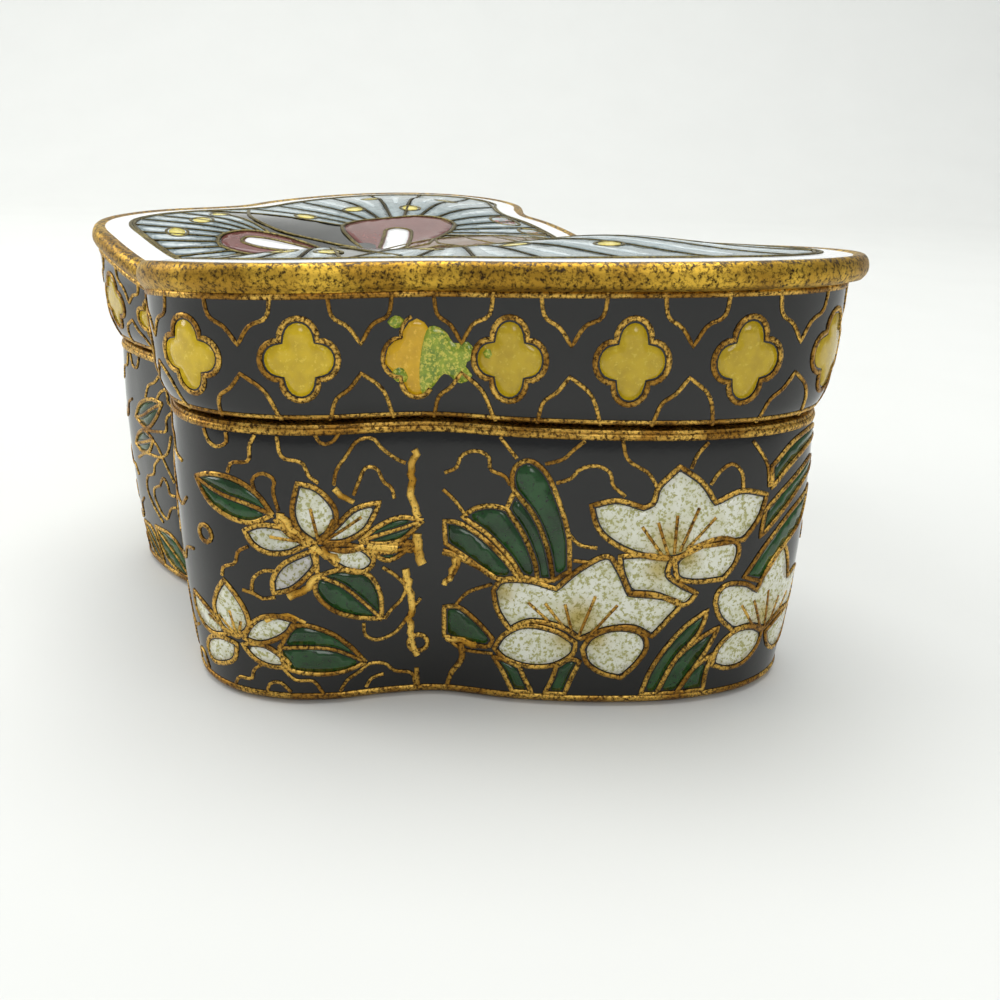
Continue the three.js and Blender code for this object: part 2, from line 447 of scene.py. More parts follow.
class Finish:
    """A material with noise on Object coordinates; subclasses colour it."""

    name: str

    def build(self) -> bpy.types.Material:
        """Make the material, once."""
        if self.name in bpy.data.materials:
            return bpy.data.materials[self.name]
        material = bpy.data.materials.new(self.name)
        material.use_nodes = True
        tree = material.node_tree
        tree.nodes.clear()
        shader = add(tree, "ShaderNodeBsdfPrincipled")
        output = add(tree, "ShaderNodeOutputMaterial", {"Surface": shader.outputs["BSDF"]})
        output.is_active_output = True
        place = add(tree, "ShaderNodeTexCoord").outputs["Object"]
        self.dress(tree, shader, place)
        return material

    def dress(self, tree: bpy.types.NodeTree, shader: bpy.types.Node, place: bpy.types.NodeSocket) -> None:
        """Colour the material."""
        raise NotImplementedError

    @staticmethod
    def noise(tree: bpy.types.NodeTree, place: bpy.types.NodeSocket, size_mm: float, detail: float = 3.0,
              rough: float = 0.55) -> bpy.types.NodeSocket:
        """Noise whose features are about a size in millimetres."""
        node = add(tree, "ShaderNodeTexNoise", {
            "Vector": place, "Scale": per_metre(size_mm), "Detail": detail, "Roughness": rough})
        return node.outputs["Fac"]


@dataclass(frozen=True)
class Enamel(Finish):
    """Vitreous enamel, fired and stoned flat: a glassy surface with cloudy grains and pits in the colour.

    The two grain colours show as speckles of grain_mm; the tint attribute, where used, shades each cell.
    """

    name: str
    ground: str
    cloud: str
    grain: str
    cloud_mm: float = 1.6
    grain_mm: float = 0.28
    grain_share: float = 0.42
    roughness: float = 0.16
    pits: float = 0.04
    tinted: bool = False

    def dress(self, tree: bpy.types.NodeTree, shader: bpy.types.Node, place: bpy.types.NodeSocket) -> None:
        """Mix ground, cloud and grain, and dull the gloss with fine pits."""
        cloud = ramp(tree, self.noise(tree, place, self.cloud_mm), 0.38, 0.68)
        grain_noise = self.noise(tree, place, self.grain_mm, 2.0, 0.7)
        grain = ramp(tree, grain_noise, 1 - self.grain_share, 1 - self.grain_share + 0.1)
        colour = blend(tree, cloud, linear(self.ground), linear(self.cloud))
        colour = blend(tree, grain, colour, linear(self.grain))
        if self.tinted:
            tint = add(tree, "ShaderNodeAttribute", attribute_name="tint", attribute_type="GEOMETRY")
            node = add(tree, "ShaderNodeMix", {0: 1.0, 6: colour, 7: tint.outputs["Color"]}, data_type="RGBA",
                       blend_type="MULTIPLY")
            colour = node.outputs[2]
        tree.links.new(colour, shader.inputs["Base Color"])
        wear = ramp(tree, self.noise(tree, place, 2.4, 4.0), 0.3, 0.8)
        rough = add(tree, "ShaderNodeMapRange", {
            "Value": wear, "To Min": self.roughness * 0.7, "To Max": self.roughness * 1.6})
        tree.links.new(rough.outputs["Result"], shader.inputs["Roughness"])
        shader.inputs["IOR"].default_value = 1.5
        bump_node = add(tree, "ShaderNodeBump", {
            "Height": self.noise(tree, place, 0.5, 3.0), "Strength": 0.12, "Distance": self.pits * MM})
        tree.links.new(bump_node.outputs["Normal"], shader.inputs["Normal"])


@dataclass(frozen=True)
class Gilt(Finish):
    """Worn gilding over copper: warm gold with brown tarnish in grains, and brighter patches of painted highlight."""

    name: str
    gold: str = "#a3762c"
    tarnish: str = "#4a3318"
    # bright gold of the painted highlight patches
    highlight_gold: str = "#e0b455"
    grain_mm: float = 0.22
    tarnish_share: float = 0.5
    highlight_share: float = 0.3
    roughness: float = 0.4
    metallic: float = 0.9

    def dress(self, tree: bpy.types.NodeTree, shader: bpy.types.Node, place: bpy.types.NodeSocket) -> None:
        """Tarnish in grains, and paint bright patches of highlight."""
        grains = self.noise(tree, place, self.grain_mm, 3.0, 0.7)
        tarnish = ramp(tree, grains, 0.95 - self.tarnish_share, 1.1 - self.tarnish_share)
        # broad noise patches of brighter gold: painted highlight
        highlight_patch = ramp(tree, self.noise(tree, place, 3.2, 2.0), 0.72 - self.highlight_share, 0.86 - self.highlight_share)
        colour = blend(tree, highlight_patch, linear(self.gold), linear(self.highlight_gold))
        colour = blend(tree, tarnish, colour, linear(self.tarnish))
        tree.links.new(colour, shader.inputs["Base Color"])
        shader.inputs["Metallic"].default_value = self.metallic
        rough = add(tree, "ShaderNodeMapRange", {
            "Value": grains, "To Min": self.roughness - 0.08, "To Max": self.roughness + 0.2})
        tree.links.new(rough.outputs["Result"], shader.inputs["Roughness"])
        bump_node = add(tree, "ShaderNodeBump", {"Height": grains, "Strength": 0.5, "Distance": 0.03 * MM})
        tree.links.new(bump_node.outputs["Normal"], shader.inputs["Normal"])


@dataclass(frozen=True)
class RolledRim(Finish):
    """The rolled copper rim: gilding left on its lower side, worn to brown metal on its crest."""

    name: str = "rolled_rim_worn_gilding"
    gold: str = "#a88028"
    # bright gold of the painted highlight patches
    highlight_gold: str = "#d9b040"
    tarnish: str = "#33240f"
    bare: str = "#4c4238"

    def dress(self, tree: bpy.types.NodeTree, shader: bpy.types.Node, place: bpy.types.NodeSocket) -> None:
        """Blend gilding to bare metal by the crest attribute, both broken up by grains."""
        crest = add(tree, "ShaderNodeAttribute", attribute_name="crest", attribute_type="GEOMETRY").outputs["Fac"]
        grains = self.noise(tree, place, 0.3, 4.0, 0.75)
        # noise patches of brighter gold: painted highlight
        highlight_patch = ramp(tree, self.noise(tree, place, 4.5, 2.0), 0.42, 0.62)
        ragged = add(tree, "ShaderNodeMath", {0: grains, 1: crest}, operation="ADD").outputs[0]
        worn = ramp(tree, ragged, 0.92, 1.12)
        colour = blend(tree, highlight_patch, linear(self.gold), linear(self.highlight_gold))
        colour = blend(tree, ramp(tree, grains, 0.46, 0.62), colour, linear(self.tarnish))
        colour = blend(tree, worn, colour, linear(self.bare))
        tree.links.new(colour, shader.inputs["Base Color"])
        shader.inputs["Metallic"].default_value = 0.85
        rough = add(tree, "ShaderNodeMapRange", {"Value": grains, "To Min": 0.3, "To Max": 0.6})
        tree.links.new(rough.outputs["Result"], shader.inputs["Roughness"])
        bump_node = add(tree, "ShaderNodeBump", {"Height": grains, "Strength": 0.5, "Distance": 0.05 * MM})
        tree.links.new(bump_node.outputs["Normal"], shader.inputs["Normal"])


@dataclass(frozen=True)
class Paper(Finish):
    """Matt pale card that the box stands on."""

    name: str = "pale_card"
    ground: str = "#d3d4d0"

    def dress(self, tree: bpy.types.NodeTree, shader: bpy.types.Node, place: bpy.types.NodeSocket) -> None:
        """Nearly even, with the faint cloudiness of card."""
        cloud = self.noise(tree, place, 30.0, 2.0)
        tree.links.new(blend(tree, cloud, linear(self.ground), linear("#cfd0cc")), shader.inputs["Base Color"])
        shader.inputs["Roughness"].default_value = 0.8


class Colour(Enum):
    """The enamels and the metal of the box."""

    BLACK = Enamel("black_enamel_ground", "#0a0a09", "#0e0d0b", "#151310", roughness=0.13)
    WHITE = Enamel("white_enamel_border", "#e6e7e6", "#dcdddc", "#eeeeee", roughness=0.12, grain_share=0.3)
    PETAL = Enamel("petal_white_speckled_enamel", "#dfdfd0", "#cfceb2", "#a7a468", cloud_mm=1.2, grain_mm=0.3,
                   grain_share=0.5, tinted=True)
    THROAT = Enamel("throat_ochre_enamel", "#a88b1e", "#8c7518", "#c2a63a", grain_mm=0.3)
    LEAF = Enamel("leaf_green_enamel", "#12300f", "#1d4a1d", "#0f240c", cloud_mm=2.4, tinted=True)
    YELLOW = Enamel("quatrefoil_yellow_enamel", "#d2b41a", "#bfa216", "#dcc23a", cloud_mm=1.0, tinted=True)
    WING = Enamel("wing_grey_teal_enamel", "#6f7c7d", "#8b999b", "#5c6a6b", cloud_mm=1.8, grain_mm=0.35)
    STREAK = Enamel("wing_pale_streak_enamel", "#a9b5b6", "#c9d1d1", "#93a1a3", cloud_mm=1.0, grain_mm=0.35)
    RED = Enamel("wing_dull_red_enamel", "#6b3b36", "#5c322e", "#7a4640", grain_mm=0.35)
    DOT = Enamel("wing_pale_yellow_enamel", "#d6c65c", "#c7b752", "#e2d678", grain_mm=0.3)
    BROWN = Enamel("body_brown_enamel", "#71553c", "#5d4531", "#83654a", cloud_mm=1.4, grain_mm=0.3)
    ORANGE = Enamel("eye_orange_enamel", "#a8702f", "#8f6a2c", "#b98a44", grain_mm=0.3)
    SALMON = Enamel("spot_salmon_enamel", "#b1716a", "#9c615b", "#bd817a", grain_mm=0.3)
    INSIDE = Enamel("turquoise_counter_enamel", "#3f8f93", "#367e83", "#56a3a5", cloud_mm=3.0, roughness=0.22)
    SMEAR = Enamel("run_yellow_green_enamel", "#8fa02a", "#5f7a24", "#c9c04a", cloud_mm=0.7, grain_mm=0.22,
                   grain_share=0.5)
    # each gilt finish paints patches of its highlight_gold as painted highlight
    WIRE_GILT = Gilt("gilt_wire")
    PALE_WIRE = Gilt("wing_wire_olive", gold="#6d6238", tarnish="#453c24", highlight_gold="#8a7d49", highlight_share=0.2)
    BLOOM = Gilt("run_gilding", gold="#b5852d", highlight_gold="#f0c662", tarnish="#5a3f1b", highlight_share=0.36,
                 tarnish_share=0.42)

    def material(self) -> bpy.types.Material:
        """The finish as a material."""
        return self.value.build()


# ---- mesh making -------------------------------------------------------------------------------------------

def new_piece(name: str, vertices: np.ndarray, faces: Sequence[Sequence[int]],
              materials: Sequence[bpy.types.Material], slots: Sequence[int] | None = None) -> bpy.types.Object:
    """Make a mesh object from millimetre points.

    Args:
        name: the piece's name.
        vertices: points in millimetres.
        faces: vertex numbers of each face.
        materials: its materials.
        slots: material number of each face, all 0 if left out.

    Returns:
        The object, at the origin and linked to the scene.
    """
    mesh = bpy.data.meshes.new(name)
    mesh.from_pydata((np.asarray(vertices) * MM).tolist(), [], [list(map(int, face)) for face in faces])
    for material in materials:
        mesh.materials.append(material)
    if slots is not None:
        mesh.polygons.foreach_set("material_index", np.asarray(slots, dtype=np.int32))
    mesh.polygons.foreach_set("use_smooth", np.ones(len(mesh.polygons), dtype=bool))
    mesh.update()
    piece = bpy.data.objects.new(name, mesh)
    bpy.context.scene.collection.objects.link(piece)
    return piece


@dataclass
class Shell:
    """A closed skin of rings, each band between two rings with its own material."""

    rings: list[np.ndarray] = field(default_factory=list)
    bands: list[Colour | None] = field(default_factory=list)
    crest: list[float] = field(default_factory=list)

    def add(self, ring: np.ndarray, colour: Colour | None, crest: float = 0.0) -> None:
        """Add a ring; colour is that of the band that leads to it, None for the rolled rim."""
        self.rings.append(ring)
        self.bands.append(colour)
        self.crest.append(crest)

    def piece(self, name: str, first: np.ndarray, last: np.ndarray) -> bpy.types.Object:
        """Close the skin with a point at each end and make the object."""
        count = len(self.rings[0])
        vertices = np.vstack(self.rings + [first[None], last[None]])
        faces: list[tuple[int, ...]] = []
        names: list[Colour | None] = []
        around = [(i, (i + 1) % count) for i in range(count)]
        for r in range(len(self.rings) - 1):
            low, high = r * count, (r + 1) * count
            faces += [(low + i, low + j, high + j, high + i) for i, j in around]
            names += [self.bands[r + 1]] * count
        start, end = len(vertices) - 2, len(vertices) - 1
        top = (len(self.rings) - 1) * count
        faces += [(j, i, start) for i, j in around] + [(top + i, top + j, end) for i, j in around]
        names += [self.bands[0]] * count + [self.bands[-1]] * count
        palette = list(dict.fromkeys(names))
        materials = [colour.material() if colour else RolledRim().build() for colour in palette]
        piece = new_piece(name, vertices, faces, materials, [palette.index(colour) for colour in names])
        crest = np.concatenate([np.repeat(self.crest, count), [0.0, 0.0]])
        attribute = piece.data.attributes.new("crest", "FLOAT", "POINT")
        attribute.data.foreach_set("value", crest.astype(np.float32))
        return piece


@dataclass
class CellPads:
    """Thin pads of enamel of one colour, gathered into one mesh."""

    name: str
    colour: Colour
    surface: Surface
    vertices: list[np.ndarray] = field(default_factory=list)
    faces: list[tuple[int, int, int]] = field(default_factory=list)
    tints: list[np.ndarray] = field(default_factory=list)
    count: int = 0

    def add(self, outline: np.ndarray, inset: float, lift: float = CELL_LIFT,
            tint: Sequence[float] = (1.0, 1.0, 1.0), glows: Sequence["Glow"] = ()) -> None:
        """Fill an outline with a pad.

        Args:
            outline: closed outline in the surface's own coordinates.
            inset: how far inside the outline the enamel stops.
            lift: height of its face over the ground.
            tint: colour that shades it.
            glows: places where its colour turns.
        """
        ring = shrunk(outline, inset) if inset > 0 else outline
        if len(ring) < 4:
            return
        flat, triangles = filled(ring)
        corners = flat[triangles]
        side, other = corners[:, 1] - corners[:, 0], corners[:, 2] - corners[:, 0]
        turned_over = side[:, 0] * other[:, 1] - side[:, 1] * other[:, 0] < 0
        triangles[turned_over] = triangles[turned_over][:, ::-1]
        top, normal = self.surface(flat[:, 0], flat[:, 1], lift)
        bottom = top - normal * CELL_THICKNESS
        base, size = self.count, len(flat)
        edges: set[tuple[int, int]] = set()
        for a, b, c in triangles.tolist():
            self.faces += [(base + a, base + b, base + c), (base + size + c, base + size + b, base + size + a)]
            edges |= {(a, b), (b, c), (c, a)}
        for a, b in edges:
            if (b, a) not in edges:
                self.faces += [(base + b, base + a, base + size + a), (base + b, base + size + a, base + size + b)]
        shade = np.tile(np.array(tint, float), (size, 1))
        for glow in glows:
            share = np.clip(1 - np.linalg.norm(flat - np.array(glow.centre), axis=1) / glow.radius, 0, 1)
            share = (share * share * (3 - 2 * share))[:, None]
            shade = shade * (1 - share) + np.array(glow.colour) * share
        self.vertices += [top, bottom]
        self.tints.append(np.vstack([shade, shade]))
        self.count += 2 * size

    def piece(self) -> bpy.types.Object | None:
        """Make the object, or None when nothing was drawn."""
        if not self.vertices:
            return None
        piece = new_piece(self.name, np.vstack(self.vertices), self.faces, [self.colour.material()])
        tint = np.column_stack([np.vstack(self.tints), np.ones(self.count)])
        attribute = piece.data.attributes.new("tint", "FLOAT_COLOR", "POINT")
        attribute.data.foreach_set("color", tint.ravel().astype(np.float32))
        return piece


def filled(ring: np.ndarray) -> tuple[np.ndarray, np.ndarray]:
    """Triangulate the inside of an outline, with points inside it so that it can follow a curved surface.

    Args:
        ring: the closed outline.

    Returns:
        The points and the triangles' corners.
    """
    low, high = ring.min(axis=0), ring.max(axis=0)
    columns = np.arange(low[0], high[0], CELL_SPACING)
    rows = np.arange(low[1], high[1], CELL_SPACING * 0.87)
    grid = np.array([(x + (j % 2) * CELL_SPACING / 2, y) for j, y in enumerate(rows) for x in columns])
    inner = np.zeros((0, 2))
    if len(grid):
        grid = grid[is_inside(grid, ring)]
    if len(grid):
        inner = grid[distance_to(grid, ring) > CELL_SPACING * 0.4]
    points = np.vstack([ring, inner])
    edges = [(i, (i + 1) % len(ring)) for i in range(len(ring))]
    result = delaunay_2d_cdt([Vector(p) for p in points], edges, [], 1, 1e-5)
    flat = np.array([tuple(v) for v in result[0]])
    return flat, np.array([tuple(face) for face in result[2] if len(face) == 3])


@dataclass
class WireLines:
    """Gilt wires that lie on a surface, swept by a Geometry Nodes tree into one mesh."""

    name: str
    colour: Colour
    surface: Surface
    points: list[np.ndarray] = field(default_factory=list)
    normals: list[np.ndarray] = field(default_factory=list)
    radii: list[np.ndarray] = field(default_factory=list)
    edges: list[tuple[int, int]] = field(default_factory=list)
    count: int = 0

    def add(self, line: np.ndarray, radius: float | Sequence[float] = WIRE, closed: bool = False,
            lift: float = WIRE_LIFT) -> None:
        """Lay a wire along a line of the surface.

        Args:
            line: points in the surface's own coordinates.
            radius: half its width, or that at its start and its end.
            closed: whether it returns to its start.
            lift: height of its middle over the ground.
        """
        place, normal = self.surface(line[:, 0], line[:, 1], lift)
        ends = (radius, radius) if np.isscalar(radius) else radius
        self.points.append(place)
        self.normals.append(normal)
        self.radii.append(np.linspace(ends[0], ends[1], len(line)))
        last = len(line) if closed else len(line) - 1
        self.edges += [(self.count + i, self.count + (i + 1) % len(line)) for i in range(last)]
        self.count += len(line)

    def piece(self) -> bpy.types.Object | None:
        """Sweep the wires and make the object, or None when nothing was drawn."""
        if not self.points:
            return None
        mesh = bpy.data.meshes.new(self.name)
        mesh.from_pydata((np.vstack(self.points) * MM).tolist(), self.edges, [])
        normal = mesh.attributes.new("surface_normal", "FLOAT_VECTOR", "POINT")
        normal.data.foreach_set("vector", np.vstack(self.normals).ravel().astype(np.float32))
        width = mesh.attributes.new("half_width", "FLOAT", "POINT")
        width.data.foreach_set("value", (np.concatenate(self.radii) * MM).astype(np.float32))
        guide = bpy.data.objects.new(self.name, mesh)
        bpy.context.scene.collection.objects.link(guide)
        return grown(guide, wire_tree(), {"Crown": 0.42, "Sides": 6}, self.colour.material())


def wire_tree() -> bpy.types.GeometryNodeTree:
    """The tree that sweeps a flattened round section along every edge line of a mesh.

    Returns:
        The tree, with inputs for the crown's height as a share of the half width, the number of sides and
        the material.
    """
    name = "sweep_wires"
    if name in bpy.data.node_groups:
        return bpy.data.node_groups[name]
    tree = bpy.data.node_groups.new(name, "GeometryNodeTree")
    face = tree.interface
    face.new_socket("Geometry", in_out="INPUT", socket_type="NodeSocketGeometry")
    face.new_socket("Crown", in_out="INPUT", socket_type="NodeSocketFloat")
    face.new_socket("Sides", in_out="INPUT", socket_type="NodeSocketInt")
    face.new_socket("Material", in_out="INPUT", socket_type="NodeSocketMaterial")
    face.new_socket("Geometry", in_out="OUTPUT", socket_type="NodeSocketGeometry")
    given = add(tree, "NodeGroupInput").outputs
    normal = add(tree, "GeometryNodeInputNamedAttribute", {"Name": "surface_normal"}, data_type="FLOAT_VECTOR")
    width = add(tree, "GeometryNodeInputNamedAttribute", {"Name": "half_width"}, data_type="FLOAT")
    curve = add(tree, "GeometryNodeMeshToCurve", {"Mesh": given["Geometry"]})
    faced = add(tree, "GeometryNodeSetCurveNormal", {"Curve": curve.outputs[0]}, mode="FREE")
    tree.links.new(normal.outputs["Attribute"], faced.inputs["Normal"])
    sized = add(tree, "GeometryNodeSetCurveRadius", {
        "Curve": faced.outputs[0], "Radius": width.outputs["Attribute"]})
    circle = add(tree, "GeometryNodeCurvePrimitiveCircle", {"Resolution": given["Sides"], "Radius": 1.0})
    squash = add(tree, "ShaderNodeCombineXYZ", {"X": given["Crown"], "Y": 1.0, "Z": 1.0})
    section = add(tree, "GeometryNodeTransform", {"Geometry": circle.outputs[0], "Scale": squash.outputs[0]})
    swept = add(tree, "GeometryNodeCurveToMesh", {
        "Curve": sized.outputs[0], "Profile Curve": section.outputs[0], "Fill Caps": True,
        "Scale": width.outputs["Attribute"]})
    soft = add(tree, "GeometryNodeSetShadeSmooth", {"Geometry": swept.outputs[0]})
    real = add(tree, "GeometryNodeRealizeInstances", {"Geometry": soft.outputs[0]})
    dressed = add(tree, "GeometryNodeSetMaterial", {"Geometry": real.outputs[0], "Material": given["Material"]})
    add(tree, "NodeGroupOutput", {"Geometry": dressed.outputs[0]})
    return tree


def grown(guide: bpy.types.Object, tree: bpy.types.GeometryNodeTree, sizes: dict[str, float],
          material: bpy.types.Material) -> bpy.types.Object:
    """Run a Geometry Nodes tree on a guide and keep the result as a plain mesh.

    Args:
        guide: the object that carries the lines.
        tree: the tree.
        sizes: input name to value.
        material: the value of its Material input.

    Returns:
        A new object of the guide's name; the guide is removed.
    """
    modifier = guide.modifiers.new(tree.name, "NODES")
    modifier.node_group = tree
    sockets = {item.name: item.identifier for item in tree.interface.items_tree if item.in_out == "INPUT"}
    for name, value in {**sizes, "Material": material}.items():
        modifier[sockets[name]] = value
    bpy.context.view_layer.update()
    graph = bpy.context.evaluated_depsgraph_get()
    mesh = bpy.data.meshes.new_from_object(guide.evaluated_get(graph), depsgraph=graph)
    name = guide.name
    old = guide.data
    bpy.data.objects.remove(guide)
    bpy.data.meshes.remove(old)
    mesh.name = name
    mesh.materials.clear()
    mesh.materials.append(material)
    piece = bpy.data.objects.new(name, mesh)
    bpy.context.scene.collection.objects.link(piece)
    return piece


def enlist(piece: bpy.types.Object | None, slot: str, *replaces: str) -> None:
    """Ride a piece on the box, hide the nodes it stands for, and log it."""
    if piece is None:
        return
    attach(piece, BODY)
    for node in replaces:
        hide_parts(node)
    triangles = sum(len(face.vertices) - 2 for face in piece.data.polygons)
    LOG.info("%s: %d triangles", piece.name, triangles)


# ---- pictures in enamel ------------------------------------------------------------------------------------

@dataclass(frozen=True)
class Cell:
    """An enamel cell: its outline, its enamel, and half the width of the wire round it (0 for none)."""

    outline: str
    colour: Colour = Colour.PETAL
    tint: tuple[float, float, float] = (1.0, 1.0, 1.0)
    wire: float = WIRE


@dataclass(frozen=True)
class Leaf:
    """A leaf of two cells: both edges and the rib run from its base to its tip."""

    upper: str
    lower: str
    rib: str
    light: float = 1.0


@dataclass(frozen=True)
class Glow:
    """A place where a petal's white turns to ochre, towards the flower's throat."""

    centre: Point
    radius: float
    colour: tuple[float, float, float] = (0.62, 0.47, 0.10)


class Picture:
    """Cells and wires on one surface, gathered into one mesh for each enamel and one for the wires."""

    def __init__(self, name: str, surface: Surface, slot: str, metal: Colour = Colour.WIRE_GILT) -> None:
        """Start an empty picture.

        Args:
            name: what the pieces' names start with.
            surface: how its coordinates become a place and a normal.
            slot: a name for its enamel's slot, passed to enlist, which does not use it.
            metal: finish of its wires.
        """
        self.name = name
        self.surface = surface
        self.slot = slot
        self.pads: dict[Colour, CellPads] = {}
        self.wires = WireLines(f"{name}_wires", metal, surface)
        self.glows: list[Glow] = []

    def pad(self, colour: Colour) -> CellPads:
        """The mesh that gathers one enamel."""
        if colour not in self.pads:
            self.pads[colour] = CellPads(f"{self.name}_{colour.name.lower()}", colour, self.surface)
        return self.pads[colour]

    def cell(self, outline: np.ndarray, colour: Colour, tint: Sequence[float] = (1.0, 1.0, 1.0),
             wire: float = WIRE, lift: float = CELL_LIFT) -> None:
        """Fire a cell and bend its wire round it."""
        self.pad(colour).add(outline, wire + ENAMEL_SHRINK if wire else 0.0, lift, tint, self.glows)
        if wire:
            self.wires.add(outline, wire, closed=True)

    def cells(self, drawings: Iterable[Cell], flip: float = 1.0) -> None:
        """Fire cells from their drawings; flip -1 mirrors them."""
        for item in drawings:
            self.cell(drawn(item.outline, True) * [flip, 1.0], item.colour, item.tint, item.wire)

    def leaf(self, item: Leaf, flip: float = 1.0) -> None:
        """Fire both halves of a leaf and lay its three wires."""
        mirror = np.array([flip, 1.0])
        upper, lower, rib = (drawn(text, False) * mirror for text in (item.upper, item.lower, item.rib))
        for edge in (upper, lower):
            ring = np.vstack([edge, rib[1:-1][::-1]])
            self.pad(Colour.LEAF).add(ring, WIRE * 0.7 + ENAMEL_SHRINK, CELL_LIFT, [item.light] * 3, [])
            self.wires.add(edge, WIRE)
        self.wires.add(rib, (WIRE * 0.85, THIN_WIRE))

    def lines(self, texts: Iterable[str], radius: float | tuple[float, float] = THIN_WIRE,
              flip: float = 1.0) -> None:
        """Lay open wires."""
        for text in texts:
            self.wires.add(drawn(text, False) * [flip, 1.0], radius)

    def finish(self) -> None:
        """Make the pieces and enlist them."""
        for pad in self.pads.values():
            enlist(pad.piece(), self.slot)
        enlist(self.wires.piece(), "gilt")


